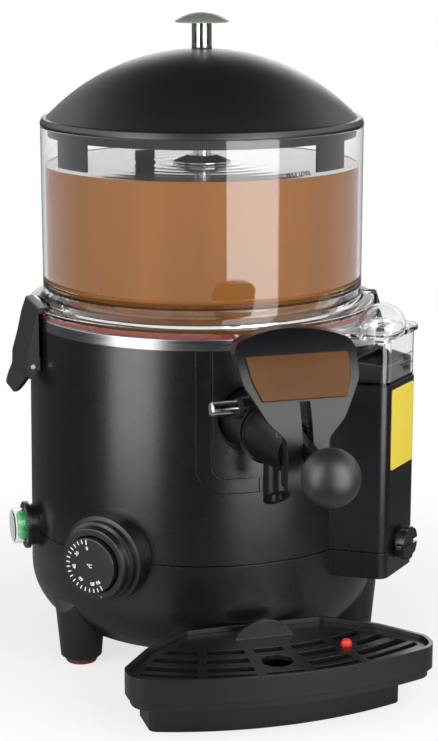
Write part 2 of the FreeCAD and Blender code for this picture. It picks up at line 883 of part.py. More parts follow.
def front_panel():
    lip_out = shell_wall + slip
    lip_in = lip_out + panel_lip_thickness
    skin = body_solid(0).cut(body_solid(lip_in))
    lip = body_solid(lip_out).cut(body_solid(lip_in))
    panel = joined(skin.common(panel_prism(slip)), lip.common(panel_prism(-panel_lip)))
    surface = body_solid(0).cut(body_solid(panel_line_depth))
    line = panel_prism(panel_line_inset).cut(panel_prism(panel_line_inset + panel_line_width))
    cuts = [line.common(surface), wall_hole(tap_root_start_radius + free_play, tap_root_z)]
    low = body_top_z - panel_drop
    for offset in panel_tick_offsets:
        tick = block((offset, offset + panel_line_width), (-base_radius, 0), (low, low + panel_line_inset))
        cuts.append(tick.common(surface))
    return panel.cut(cuts)


# ---------------------------------------------------------------------------------------------
# Water bath, heater and outlet
# ---------------------------------------------------------------------------------------------
def heater_terminals(radius):
    half = heater_terminal_spread / 2
    back = math.sqrt(heater_ring_radius ** 2 - half ** 2)
    top = tank_floor_z + heater_rise
    foot = tank_bottom_z - heater_terminal_drop
    return [rod(radius, Vec(x, back, foot), Vec(x, back, top)) for x in (-half, half)]


def bain_marie_tank():
    corner = tank_corner_radius
    points = [(seal_radius, tank_bottom_z), (tank_outer_radius, tank_bottom_z, corner + tank_wall),
              (tank_outer_radius, body_top_z), (rim_radius, body_top_z), (rim_radius, rim_top_z, edge_radius),
              (tank_radius, rim_top_z, edge_radius), (tank_radius, tank_floor_z, corner),
              (seal_radius, tank_floor_z)]
    outlet = rod(outlet_radius + outlet_wall + fit, forward(tank_radius - free_play, tap_z),
                 forward(tank_outer_radius + free_play, tap_z))
    inlet = rod(water_pipe_radius + fit, forward(tank_radius - free_play, water_pipe_z),
                forward(tank_outer_radius + free_play, water_pipe_z))
    holes = [outlet, turned(inlet, box_azimuth)] + heater_terminals(heater_rod_radius + fit)
    return spun(points).cut(holes)


def heating_element():
    """Open ring of round rod whose two ends turn down through the tank's floor."""
    half_angle = math.degrees(math.asin(heater_terminal_spread / 2 / heater_ring_radius))
    centre = Vec(0, heater_ring_radius, tank_floor_z + heater_rise)
    section = Part.Face(Part.Wire(Part.makeCircle(heater_rod_radius, centre, RIGHT)))
    section.rotate(ORIGIN, UP, half_angle)
    ring = section.revolve(ORIGIN, UP, 360 - 2 * half_angle)
    legs = heater_terminals(heater_rod_radius)
    knees = []
    for leg in legs:
        top = leg.CenterOfMass + UP * (leg.BoundBox.ZLength / 2)
        knees.append(Part.makeSphere(heater_rod_radius, top))
    return joined(ring, *legs, *knees)


def safety_cutout():
    top = Vec(-safety_cutout_offset, safety_cutout_offset, tank_bottom_z)
    can = rod(safety_cutout_radius, top - UP * safety_cutout_height, top)
    ear = block((top.x - safety_ear_reach, top.x + safety_ear_reach),
                (top.y - safety_ear_half_width, top.y + safety_ear_half_width),
                (tank_bottom_z - safety_ear_thickness, tank_bottom_z))
    return joined(can, ear)


def outlet_run(radius):
    knee = forward(outlet_offset, tap_z)
    rise = rod(radius, knee, forward(outlet_offset, bowl_floor_z - outlet_gasket_height))
    run = rod(radius, knee, forward(outlet_end, tap_z))
    return joined(rise, run, Part.makeSphere(radius, knee))


def outlet_elbow():
    top = forward(outlet_offset, bowl_floor_z - outlet_gasket_height)
    collar = rod(outlet_collar_radius, top - UP * outlet_collar_height, top)
    outside = joined(outlet_run(outlet_radius + outlet_wall), collar)
    return outside.cut(outlet_run(outlet_radius))


def outlet_gasket():
    top = forward(outlet_offset, bowl_floor_z)
    return pipe(outlet_collar_radius - edge_radius, outlet_radius, top - UP * outlet_gasket_height, top)


def water_pipe():
    start = forward(tank_radius - tank_wall, water_pipe_z)
    end = forward(base_radius + box_wall, water_pipe_z)
    return turned(pipe(water_pipe_radius, water_pipe_radius - water_pipe_wall, start, end), box_azimuth)


def seal_ring(z, thickness):
    """Lip seal that the drive shaft turns in, with a flange above the floor it sits in."""
    body = upright(seal_radius, z - thickness - seal_overhang, z + seal_overhang)
    flange = upright(seal_radius + seal_flange, z, z + seal_overhang)
    return joined(body, flange).cut(upright(drive_shaft_radius + fit, 0, rim_top_z))


# ---------------------------------------------------------------------------------------------
# Bowl and its gasket
# ---------------------------------------------------------------------------------------------
def bowl():
    floor_top = bowl_floor_z + bowl_wall
    shelf_under = bowl_shelf_z - bowl_wall
    flare_z = bowl_z + bowl_flare_height
    foot = bowl_foot_radius
    inner = bowl_inner_radius
    outside = [(seal_radius, bowl_floor_z), (bowl_neck_radius, bowl_floor_z, foot),
               (bowl_neck_radius, shelf_under, bowl_shelf_radius), (inner, shelf_under, bowl_shelf_radius),
               (inner, bowl_z), (rim_radius, bowl_z), (rim_radius, bowl_flange_top_z, bowl_flange_edge),
               (bowl_radius + bowl_flare_step, bowl_flange_top_z + bowl_flange_edge, bowl_flange_edge),
               (bowl_radius, flare_z, bowl_flare_radius), (bowl_radius, bowl_rim_z, edge_radius)]
    inside = [(inner, bowl_rim_z, edge_radius), (inner, bowl_shelf_z, bowl_flare_radius),
              (neck_inner_radius, bowl_shelf_z, bowl_shelf_radius), (neck_inner_radius, floor_top, foot),
              (seal_radius, floor_top)]
    half_groove = gasket_width / 2 + slip
    groove = pipe(gasket_radius + half_groove, gasket_radius - half_groove, UP * bowl_z,
                  UP * (rim_top_z + gasket_height + slip))
    drain = rod(outlet_radius, forward(outlet_offset, bowl_floor_z), forward(outlet_offset, floor_top))
    half_pocket = latch_width / 2 + free_play
    pocket = block((bowl_radius + latch_pocket_gap, rim_radius + free_play), (-half_pocket, half_pocket),
                   (bowl_flange_top_z - latch_pocket_depth, flare_z))
    pockets = [turned(pocket, azimuth - 90) for azimuth in latch_azimuths]
    return spun(outside + inside).cut([groove, drain] + pockets)


def bowl_gasket():
    outer = gasket_radius + gasket_width / 2
    return pipe(outer, outer - gasket_width, UP * rim_top_z, UP * (rim_top_z + gasket_height))


# ---------------------------------------------------------------------------------------------
# Lid with its knob
# ---------------------------------------------------------------------------------------------
def dome(radius):
    return Part.makeSphere(radius, UP * (lid_top_z - lid_dome_radius))


def lid():
    rim_inner = lid_radius - lid_rim_width
    rim_high = lid_z + lid_rim_height
    rim = spun([(rim_inner, lid_z), (lid_radius, lid_z), (lid_radius, lid_z + lid_edge_height, fine_edge),
                (lid_radius - lid_rim_step, rim_high, edge_radius), (rim_inner, rim_high)])
    boss = upright(lid_boss_radius, lid_top_z - lid_wall, lid_top_z + lid_boss_rise)
    above = upright(lid_radius, lid_z, lid_top_z + free_play)
    outside = joined(dome(lid_dome_radius).common(above), rim, boss)
    hole = upright(knob_stud_radius + fit, lid_z, lid_top_z + lid_boss_rise)
    return outside.cut([dome(lid_dome_radius - lid_wall), hole])


def lid_skirt():
    rise = math.sqrt((lid_dome_radius - lid_wall) ** 2 - skirt_radius ** 2)
    top = lid_top_z - lid_dome_radius + rise - slip
    inner = skirt_radius - skirt_wall
    band = pipe(skirt_radius, inner, UP * (lid_z - skirt_drop), UP * top)
    tall = pipe(skirt_radius, inner, UP * (lid_z - leg_drop), UP * top)
    legs = []
    for azimuth, width in skirt_legs:
        slab = block((-width / 2, width / 2), (-lid_radius, 0), (0, lid_top_z))
        legs.append(tall.common(turned(slab, azimuth)))
    return joined(band, *legs)


def knob_post():
    foot = lid_top_z + lid_boss_rise
    post = upright(knob_post_radius, foot, foot + knob_post_height)
    stud = upright(knob_stud_radius, foot - knob_stud_length, foot + knob_post_height + knob_height / 2)
    return joined(post, stud)


def knob_nut():
    top = lid_top_z - lid_wall - slip
    corner = 2 * knob_nut_half_width / math.sqrt(3)
    angles = [math.radians(60 * turn) for turn in range(6)]
    hexagon = [(corner * math.cos(angle), corner * math.sin(angle)) for angle in angles]
    nut = extruded(hexagon, level(top - knob_nut_height), UP * knob_nut_height)
    return nut.cut(upright(knob_stud_radius, 0, lid_top_z))


def knob_cap():
    low = lid_top_z + lid_boss_rise + knob_post_height
    high = low + knob_height
    rise = knob_height - knob_edge
    crown_radius = (knob_radius ** 2 + rise ** 2) / (2 * rise)
    cap = upright(knob_radius, low, high).common(Part.makeSphere(crown_radius, UP * (high - crown_radius)))
    return cap.cut(upright(knob_stud_radius + fit, low, low + knob_height / 2 + slip))


# ---------------------------------------------------------------------------------------------
# Stirrer and its drive
# ---------------------------------------------------------------------------------------------
def stirrer_column():
    tip_z = column_top_z - column_tip
    column = upright(column_radius, stirrer_z, tip_z)
    tip = cone(column_radius, column_radius - column_tip, UP * tip_z, UP * column_top_z)
    return joined(column, tip).cut(upright(drive_shaft_radius + fit, stirrer_z, drive_shaft_top_z + slip))


def stirrer_disc():
    bore = column_radius + fit
    top = disc_z + disc_height
    return spun([(bore, disc_z), (disc_radius, disc_z), (disc_radius, disc_z + disc_edge),
                 (bore + disc_hub_wall, top), (bore, top)])


def stirrer_paddle():
    low = stirrer_z + free_play
    high = low + paddle_height
    inner_high = high - paddle_step
    scraper_out = scraper_radius + scraper_width
    plane = facing(-paddle_thickness / 2)
    through = Vec(0, paddle_thickness, 0)
    corner = paddle_corner_radius
    arm = extruded([(0, low), (paddle_reach, low, corner), (paddle_reach, high, corner),
                    (scraper_out, high, corner), (scraper_out, scraper_top_z, corner),
                    (scraper_radius, scraper_top_z, corner), (scraper_radius, inner_high, corner),
                    (0, inner_high)], plane, through)
    left, right = paddle_window
    foot = low + paddle_window_rim
    head = inner_high - paddle_window_rim
    window = extruded([(left, foot, corner), (right, foot, corner), (right, head, corner),
                       (left, head, corner)], plane, through)
    blade = arm.cut(window)
    hub = upright(paddle_hub_radius, low, low + paddle_hub_height)
    return joined(hub, blade, turned(blade, 180)).cut(upright(column_radius + fit, 0, scraper_top_z))


def drive_shaft():
    return upright(drive_shaft_radius, coupling_joint_z + slip, drive_shaft_top_z)


def output_shaft():
    return upright(output_shaft_radius, motor_plate_z - gearbox_height / 2, coupling_joint_z)


def shaft_coupling():
    low = coupling_joint_z - coupling_half_length
    high = coupling_joint_z + coupling_half_length
    lower_bore = upright(output_shaft_radius + fit, low, coupling_joint_z)
    upper_bore = upright(drive_shaft_radius + fit, coupling_joint_z, high)
    return upright(coupling_radius, low, high).cut([lower_bore, upper_bore])


def gear_motor():
    gearbox_z = motor_plate_z - gearbox_height
    motor_z = gearbox_z - motor_height
    gearbox = upright(gearbox_radius, gearbox_z, motor_plate_z)
    can = spun([(0, motor_z), (motor_radius, motor_z, motor_edge_radius), (motor_radius, gearbox_z),
                (0, gearbox_z)])
    bore = upright(output_shaft_radius + fit, motor_plate_z - gearbox_height / 2 - slip, motor_plate_z)
    return joined(gearbox, can).cut([bore] + motor_screws())


def motor_bracket():
    plate = upright(bracket_radius, motor_plate_z, motor_plate_z + bracket_plate)
    post = rod(bracket_post_radius, forward(bracket_post_circle, motor_plate_z),
               forward(bracket_post_circle, tank_bottom_z))
    posts = [turned(post, 120 * turn) for turn in range(3)]
    hole = upright(coupling_radius + free_play, motor_plate_z, tank_bottom_z)
    cuts = [hole] + heater_terminals(heater_rod_radius + free_play) + motor_screws()
    return joined(plate, *posts).cut(cuts)


def motor_screws():
    head = forward(gearbox_radius - motor_screw_inset, motor_plate_z + bracket_plate)
    pattern = screw(head, UP * -1, motor_screw_length)
    return [turned(pattern, 60 + 120 * turn) for turn in range(3)]


# ---------------------------------------------------------------------------------------------
# Tap: socket, barrel, locking pin, piston and lever
# ---------------------------------------------------------------------------------------------
def cross_rod(radius, distance, z, left, right):
    """Rod from left to right across the tap."""
    return rod(radius, forward(distance, z, left), forward(distance, z, right))


def lock_bore(radius, left, right):
    return cross_rod(radius, lock_pin_forward, lock_pin_z, left, right)


def tap_root():
    half_boss = lock_boss_half_length
    sleeve = cone(tap_root_start_radius, tap_root_end_radius, forward(0, tap_root_z),
                  forward(tap_split, tap_root_z))
    flange = rod(tap_root_flange_radius, forward(0, tap_root_z), forward(tap_root_flange_front, tap_root_z))
    outside = joined(sleeve, flange, lock_bore(lock_boss_radius, -half_boss, half_boss))
    tank = upright(tank_outer_radius, 0, rim_top_z)
    behind = block((-base_radius, base_radius), (0, base_radius), (0, rim_top_z))
    passage = rod(outlet_radius, forward(0, tap_z), forward(tap_split, tap_z))
    seat = rod(outlet_radius + outlet_wall + fit, forward(0, tap_z), forward(outlet_end, tap_z))
    socket = rod(tap_tail_radius + slip, forward(tap_split - tap_tail_length, tap_z),
                 forward(tap_split, tap_z))
    cuts = [tank, behind, passage, seat, socket, lock_bore(lock_pin_radius + fit, -base_radius, base_radius)]
    cuts += [lock_bore(lock_boss_radius, side * half_boss, side * base_radius) for side in (-1, 1)]
    return outside.cut(cuts)


def tap_body():
    tail = rod(tap_tail_radius, forward(tap_split - tap_tail_length + slip, tap_z), forward(tap_split, tap_z))
    shoulder_front = forward(tap_split + tap_shoulder_length, tap_root_z)
    shoulder = rod(tap_shoulder_radius + tap_shoulder_step, forward(tap_split, tap_root_z), shoulder_front)
    end = forward(tap_end, tap_end_z)
    overrun = (end - shoulder_front).normalize() * tap_overrun
    barrel = cone(tap_shoulder_radius, tap_end_radius, shoulder_front - overrun, end + overrun)
    barrel = barrel.common(block((-base_radius, base_radius), (end.y, shoulder_front.y), (0, rim_top_z)))
    spout = rod(spout_radius, forward(spout_forward, spout_bottom_z), forward(spout_forward, tap_z))
    outside = joined(tail, shoulder, barrel, spout)
    bore = rod(tap_bore_radius, forward(0, tap_z), forward(tap_end, tap_z))
    port = rod(spout_bore_radius, forward(spout_forward, 0), forward(spout_forward, tap_z))
    mouth_back = spout_forward - spout_radius
    mouth_front = spout_forward + spout_radius + free_play
    mouth_rise = spout_slant * (mouth_front - mouth_back) / (2 * spout_radius)
    mouth = extruded([(mouth_back, spout_bottom_z), (mouth_front, spout_bottom_z - free_play),
                      (mouth_front, spout_bottom_z + mouth_rise)], sideways(-base_radius),
                     RIGHT * (2 * base_radius))
    half_slot = lever_hub_width / 2 + lever_side_play
    slot = block((-half_slot, half_slot), (-tap_end, -lever_slot_back), (tap_z, rim_top_z))
    notch = lock_bore(lock_pin_radius + fit, -base_radius, base_radius)
    return outside.cut([bore, port, mouth, slot, pivot_pin(), notch, shield_screw()])


def lock_pin():
    grip_start = lock_boss_half_length + lock_collar_length + slip
    pin = lock_bore(lock_pin_radius, -grip_start, lock_boss_half_length)
    grip = lock_bore(lock_grip_radius, -lock_pin_reach, -grip_start)
    tip = cone(lock_grip_radius - lock_pin_chamfer, lock_grip_radius,
               forward(lock_pin_forward, lock_pin_z, -lock_pin_reach - lock_pin_chamfer),
               forward(lock_pin_forward, lock_pin_z, -lock_pin_reach))
    head = lock_bore(lock_pin_radius + lock_pin_head, lock_boss_half_length,
                     lock_boss_half_length + lock_pin_head)
    return joined(pin, grip, tip, head)


def lock_collar():
    outer = -lock_boss_half_length - lock_collar_length
    ring = lock_bore(lock_collar_radius, outer, -lock_boss_half_length)
    return ring.cut(lock_bore(lock_pin_radius + fit, outer, -lock_boss_half_length))


def pivot_pin():
    return cross_rod(pivot_pin_radius, pivot_forward, pivot_z, -pin_half_length, pin_half_length)


def piston():
    body = rod(tap_bore_radius - fit, forward(piston_back, tap_z), forward(piston_front, tap_z))
    side = tap_bore_radius + free_play
    top = block((-side, side), (-piston_front, -piston_step), (tap_z, tap_z + side))
    nose_forward = pivot_forward - nose_length * math.sin(math.radians(nose_rest_angle))
    half_groove = nose_radius + slip
    groove_floor = pivot_z - nose_length - nose_radius - slip
    groove = block((-side, side), (-nose_forward - half_groove, -nose_forward + half_groove),
                   (groove_floor, tap_z))
    cuts = [top, groove]
    half_ring = ring_section / 2 + fit
    for place in ring_places:
        cuts.append(pipe(tap_bore_radius, tap_bore_radius - ring_section - fit,
                         forward(place - half_ring, tap_z), forward(place + half_ring, tap_z)))
    return body.cut(cuts)


def piston_rings():
    centre_radius = tap_bore_radius - fit - ring_section / 2
    return [Part.makeTorus(centre_radius, ring_section / 2, forward(place, tap_z), FRONT)
            for place in ring_places]


def bar(start, end, height, width):
    """Flat bar of rectangular section between two points of the middle plane."""
    along = (end - start).normalize()
    rise = RIGHT.cross(along) * (height / 2)
    side = RIGHT * (-width / 2)
    corners = [start + rise + side, end + rise + side, end - rise + side, start - rise + side]
    return Part.Face(Part.makePolygon(corners + corners[:1])).extrude(RIGHT * width)


def lever_line():
    """The lever's pivot, its ball's centre and the direction between them."""
    pivot = forward(pivot_forward, pivot_z)
    ball = forward(ball_forward, ball_z)
    return pivot, ball, (ball - pivot).normalize()


def lever():
    pivot, ball, along = lever_line()
    half_hub = lever_hub_width / 2
    flat = ball - along * (ball_radius - ball_flat_depth)
    hub = cross_rod(lever_hub_radius, pivot_forward, pivot_z, -half_hub, half_hub)
    arm = bar(pivot, flat, lever_bar_height, lever_bar_width)
    stem = rod(lever_stem_radius, flat - along * lever_bar_width, ball + along * lever_stem_past_centre)
    angle = math.radians(nose_rest_angle)
    nose = pivot - Vec(0, -math.sin(angle), math.cos(angle)) * nose_length
    nose_arm = bar(pivot, nose, lever_nose_arm_height, lever_hub_width)
    nose_tip = rod(nose_radius, nose - RIGHT * half_hub, nose + RIGHT * half_hub)
    bore = cross_rod(pivot_pin_radius + fit, pivot_forward, pivot_z, -half_hub, half_hub)
    return joined(hub, arm, stem, nose_arm, nose_tip).cut(bore)


def ball_knob():
    pivot, ball, along = lever_line()
    flat = ball - along * (ball_radius - ball_flat_depth)
    slab = rod(ball_radius, flat - along * ball_radius, flat)
    bore = rod(lever_stem_radius + fit, flat, ball + along * (lever_stem_past_centre + slip))
    return Part.makeSphere(ball_radius, ball).cut([slab, bore])


# ---------------------------------------------------------------------------------------------
# Shield plate and its label
# ---------------------------------------------------------------------------------------------
def shield_cylinder(radius):
    reach = shield_head_half_width + label_top_half_width
    return cross_rod(radius, shield_axis_forward, shield_axis_z, -reach, reach)


def mirrored(right):
    """The outline's right half, followed by its mirror image in reverse."""
    return right + [(-point[0],) + point[1:] for point in reversed(right)]


def shield_prism():
    neck = shield_neck_half_width
    right = [(neck, shield_foot_z, shield_foot_corner),
             (neck, shield_foot_z + shield_waist_height, shield_waist_corner),
             (shield_hip_half_width, shield_foot_z + shield_hip_height, shield_hip_corner),
             (shield_brow_half_width, shield_foot_z + shield_brow_height, shield_brow_corner),
             (shield_head_half_width, shield_foot_z + shield_head_height, shield_head_corner)]
    left = mirrored(right)[len(right):]
    crown = [(0.0, shield_foot_z + shield_crown_height, shield_crown_radius)]
    return extruded(right + crown + left, facing(-shield_axis_forward), FRONT * shield_radius)


def shield_screw():
    return screw(forward(shield_screw_seat, shield_screw_z), FRONT * -1, shield_screw_length)


def shield_plate():
    prism = shield_prism()
    shell = shield_cylinder(shield_radius).cut(shield_cylinder(shield_radius - shield_thickness))
    neck = block((-shield_neck_half_width, shield_neck_half_width), (-shield_front, -tap_end),
                 (shield_foot_z, shield_foot_z + shield_neck_height))
    whole = joined(prism.common(shell), prism.common(neck).common(shield_cylinder(shield_radius)))
    half_slot = lever_bar_width / 2 + lever_side_play
    slot = block((-half_slot, half_slot), (-shield_front, -shield_axis_forward),
                 (shield_slot_z, shield_slot_z + shield_slot_length))
    well = rod(screw_head_radius + slip, forward(shield_screw_seat, shield_screw_z),
               forward(shield_front, shield_screw_z))
    return whole.cut([slot, well, shield_screw()])


def label_plate():
    right = [(label_foot_half_width, shield_foot_z + label_foot_height, label_corner),
             (label_brow_half_width, shield_foot_z + label_brow_height, label_brow_corner),
             (label_top_half_width, shield_foot_z + label_top_height, label_corner)]
    prism = extruded(mirrored(right), facing(-shield_axis_forward), FRONT * (shield_radius + label_rise))
    return prism.common(shield_cylinder(shield_radius + label_rise).cut(shield_cylinder(shield_radius)))


# ---------------------------------------------------------------------------------------------
# Temperature dial and thermostat
# ---------------------------------------------------------------------------------------------
def dial_bezel():
    outer = bezel_flange_radius
    bore = bezel_bore_radius
    seat = base_radius - bezel_root_depth
    step_in, stand_out = bezel_steps[-1]
    front = [(bore, base_radius + stand_out), (bore, seat), (outer, seat)]
    front += [(outer - inset, base_radius + out) for inset, out in bezel_steps[:-1]]
    front.append((outer - step_in, base_radius + stand_out, edge_radius))
    sleeve_front = base_radius + bezel_steps[0][1]
    sleeve = [(bore, bezel_sleeve_back), (bezel_sleeve_radius, bezel_sleeve_back),
              (bezel_sleeve_radius, sleeve_front), (bore, sleeve_front)]
    ring = spun_outward(front, dial_azimuth, dial_z).cut(drum_solid())
    return joined(ring, spun_outward(sleeve, dial_azimuth, dial_z))


def dial_knob():
    shaft = thermostat_shaft_radius + fit
    floor = dial_face - dial_face_wall
    return spun_outward([(shaft, dial_back), (dial_radius - dial_taper, dial_back),
                         (dial_radius, dial_face, fine_edge), (0, dial_face), (0, floor), (shaft, floor)],
                        dial_azimuth, dial_z)


def dial_shaft():
    start = forward(bezel_sleeve_back - thermostat_depth / 2, dial_z)
    end = forward(dial_face - dial_face_wall - slip, dial_z)
    return turned(rod(thermostat_shaft_radius, start, end), dial_azimuth)


def thermostat():
    half = thermostat_width / 2
    case = block((-half, half), (-bezel_sleeve_back, thermostat_depth - bezel_sleeve_back),
                 (dial_z - half, dial_z + half))
    bore_end = bezel_sleeve_back - thermostat_depth / 2 - slip
    bore = rod(thermostat_shaft_radius + fit, forward(bore_end, dial_z), forward(bezel_sleeve_back, dial_z))
    return turned(case.cut(bore), dial_azimuth)


# ---------------------------------------------------------------------------------------------
# Mains switch
# ---------------------------------------------------------------------------------------------
def switch_housing():
    root = base_radius - switch_root_depth
    back = switch_flange_back
    face = switch_flange_face
    points = [(switch_bore_radius, root), (switch_boss_radius, root), (switch_boss_radius, back),
              (switch_flange_radius, back), (switch_flange_radius, face, edge_radius),
              (switch_bore_radius, face)]
    return spun_outward(points, switch_azimuth, switch_z).cut(drum_solid())


def switch_body():
    front = switch_flange_back
    case = rod(switch_cap_radius, forward(front - switch_body_depth, switch_z), forward(front, switch_z))
    half = rocker_radius - rocker_ridge_inset
    rib_half = rocker_rib_half_width
    ridge = cross_rod(rocker_ridge_radius, rocker_pivot, switch_z, -half, half)
    rib = block((-half, half), (-rocker_pivot, -front), (switch_z - rib_half, switch_z + rib_half))
    return turned(joined(case, ridge, rib), switch_azimuth)


def switch_rocker():
    low = rocker_pivot - rocker_back
    high = low + rocker_thickness
    disc = spun([(0, low), (rocker_radius, low), (rocker_radius, high, edge_radius), (0, high)],
                outward(switch_z), UP * switch_z, FRONT)
    groove = cross_rod(rocker_ridge_radius + fit, rocker_pivot, switch_z, -rocker_radius, rocker_radius)
    half = rocker_rib_half_width + rocker_rib_gap
    gap = block((-rocker_radius, rocker_radius), (-rocker_pivot, -low), (switch_z - half, switch_z + half))
    return turned(disc.cut([groove, gap]), switch_azimuth)


def switch_cap():
    back = switch_flange_back + fit
    inner = switch_cap_radius - switch_cap_wall
    face = switch_cap_face
    ceiling = face - switch_cap_wall
    points = [(inner, back), (switch_cap_radius, back), (switch_cap_radius, face, switch_cap_round),
              (0, face), (0, ceiling), (inner, ceiling, switch_cap_round - switch_cap_wall)]
    return spun_outward(points, switch_azimuth, switch_z)


# ---------------------------------------------------------------------------------------------
# Water cup on the side box, its insert and lid, the drain and the notice panel
# ---------------------------------------------------------------------------------------------
def cup_port(radius, low_z, high_z):
    return rod(radius, forward(cup_port_forward, low_z), forward(cup_port_forward, high_z))


def water_cup():
    floor_top = cup_z + cup_wall
    outer = box_prism(cup_inset, cup_z, cup_top_z, cup_body_gap)
    inner = box_prism(cup_inset + cup_wall, floor_top, cup_top_z + free_play, cup_body_gap + cup_wall)
    port = cup_port(cup_port_radius, cup_z - box_wall, floor_top)
    hole = cup_port(cup_port_radius - cup_wall, cup_z - box_wall, floor_top)
    return turned(joined(outer.cut(inner), port).cut(hole), box_azimuth)


def cup_insert():
    inset = cup_inset + cup_wall + slip
    gap = cup_body_gap + cup_wall + slip
    low = cup_z + cup_wall
    high = low + insert_height
    outer = box_prism(inset, low, high, gap)
    hollow = box_prism(inset + cup_wall, low, high - cup_wall, gap + cup_wall)
    slope = extruded([(box_root, high), (box_face, high), (box_face, high - insert_slope)],
                     sideways(-box_face), RIGHT * (2 * box_face))
    return turned(outer.cut([hollow, cup_port(cup_port_radius, low, high), slope]), box_azimuth)


def cup_lid():
    low = cup_top_z + slip
    high = low + cup_lid_thickness
    inset = cup_inset + cup_wall + slip
    gap = cup_body_gap + cup_wall + slip
    plate = box_prism(-cup_lid_overhang, low, high, cup_body_gap)
    rim = box_prism(inset, low - cup_lid_rim, low, gap)
    rim = rim.cut(box_prism(inset + cup_wall, low - cup_lid_rim, low, gap + cup_wall))
    centre = forward(cup_knob_forward, high)
    ball_foot = centre - UP * (cup_knob_radius + free_play)
    knob = Part.makeSphere(cup_knob_radius, centre)
    knob = knob.cut(rod(cup_knob_radius + free_play, ball_foot, centre))
    hollow = Part.makeSphere(cup_knob_radius - cup_knob_wall, centre)
    hollow = hollow.cut(rod(cup_knob_radius, ball_foot, centre - UP * cup_lid_thickness))
    return turned(joined(plate, rim, knob).cut(hollow), box_azimuth)


def drain_fitting():
    bore = drain_tube_radius - drain_wall
    collar = drain_tube_radius + drain_collar_step
    tail = box_face - box_wall - drain_tube_tail
    points = [(bore, tail), (drain_tube_radius, tail), (drain_tube_radius, box_face), (collar, box_face),
              (collar, drain_cap_back), (bore, drain_cap_back)]
    return spun_outward(points, box_azimuth, drain_z)


def drain_cap():
    plug = drain_tube_radius - drain_wall - fit
    cap = rod(drain_cap_radius, forward(drain_cap_back, drain_z), forward(drain_cap_face, drain_z))
    stub = rod(plug, forward(box_face - box_wall, drain_z), forward(drain_cap_back, drain_z))
    half, depth = drain_coin_slot[0] / 2, drain_coin_slot[1]
    slot = block((-drain_cap_radius, drain_cap_radius), (-drain_cap_face, depth - drain_cap_face),
                 (drain_z - half, drain_z + half))
    cuts = [slot]
    spacing = 360 / drain_notch_count
    notch_z = drain_z + drain_cap_radius + drain_notch_step
    notch = rod(drain_notch_radius, forward(drain_cap_back + drain_notch_setback, notch_z),
                forward(drain_cap_face, notch_z))
    for turn in range(drain_notch_count):
        place = notch.copy()
        place.rotate(forward(0, drain_z), FRONT, spacing * (turn + 0.5))
        cuts.append(place)
    return turned(joined(cap, stub).cut(cuts), box_azimuth)


def notice_panel():
    high = box_top_z - notice_drop
    low = high - notice_height
    corner = notice_corner_radius
    points = [(notice_left, low, corner), (notice_right, low, corner), (notice_right, high, corner),
              (notice_left, high, corner)]
    return turned(extruded(points, facing(-box_face), FRONT * notice_thickness), box_azimuth)


# ---------------------------------------------------------------------------------------------
# Latches that hold the bowl down on its gasket
# ---------------------------------------------------------------------------------------------
def from_pivot(line):
    return [(latch_pivot_radius + step[0], latch_pivot_z + step[1]) + step[2:] for step in line]


def latch():
    hook_z = bowl_flange_top_z - latch_pocket_depth + hook_play
    inner = rim_radius + latch_gap
    half = latch_width / 2
    profile = [(latch_hook_reach, hook_z), (latch_hook_reach, hook_z + latch_hook_thickness, edge_radius)]
    profile += from_pivot(latch_back_line)
    profile += [(latch_tail_tip, latch_tail_z, edge_radius),
                (latch_tail_tip - latch_wall, latch_tail_z, edge_radius)]
    profile += from_pivot(latch_front_line)
    profile += [(inner, latch_pivot_z + latch_knuckle_rise, latch_knuckle_radius), (inner, hook_z)]
    pocket = from_pivot(latch_pocket_line)
    pocket = [(latch_hook_reach, pocket[0][1])] + pocket + [(latch_hook_reach, pocket[-1][1])]
    solid = extruded(profile, sideways(-half), RIGHT * latch_width)
    hollow = extruded(pocket, sideways(latch_wall - half), RIGHT * (latch_width - 2 * latch_wall))
    bore = cross_rod(latch_pin_radius + fit, latch_pivot_radius, latch_pivot_z, -half, half)
    tail_back = -latch_pivot_radius - latch_front_line[0][0]
    tail_end = -latch_tail_tip - free_play
    tail = block((-half, half), (tail_end, tail_back), (latch_tail_z - free_play, latch_pivot_z))
    tongue = extruded([(-half, latch_tail_z, latch_tail_corner), (half, latch_tail_z, latch_tail_corner),
                       (half, latch_pivot_z), (-half, latch_pivot_z)], facing(tail_back),
                      FRONT * (tail_back - tail_end))
    return solid.cut([hollow, bore, tail.cut(tongue)])


def latch_pin():
    half = latch_width / 2
    return cross_rod(latch_pin_radius, latch_pivot_radius, latch_pivot_z, -half, half)


def latch_bracket():
    eye = bracket_eye_radius
    half = bracket_half_width
    root = body_top_radius - bracket_root_depth
    top = latch_pivot_z + eye
    low = latch_pivot_z - eye
    points = [(root, top + bracket_root_rise), (latch_pivot_radius, top + bracket_nose, eye),
              (latch_pivot_radius + eye, latch_pivot_z, bracket_tip_radius),
              (latch_pivot_radius, low - bracket_nose, eye), (root, low - bracket_root_rise)]
    plate = extruded(points, sideways(-half), RIGHT * (2 * half))
    return plate.cut(cross_rod(latch_pin_radius, latch_pivot_radius, latch_pivot_z, -half, half))


# ---------------------------------------------------------------------------------------------
# Drip tray, grid and level float
# ---------------------------------------------------------------------------------------------
def inset_corners(line, insets):
    """Corners between the pieces of an open line, once each is moved inward by its own inset."""
    sides = []
    for start, end, inset in zip(line, line[1:], insets):
        along = (end - start).normalize()
        sides.append((start + UP.cross(along) * inset, along))
    corners = []
    for (start, along), (next_start, next_along) in zip(sides, sides[1:]):
        share = (next_start - start).cross(next_along).z / along.cross(next_along).z
        corners.append(start + along * share)
    return corners


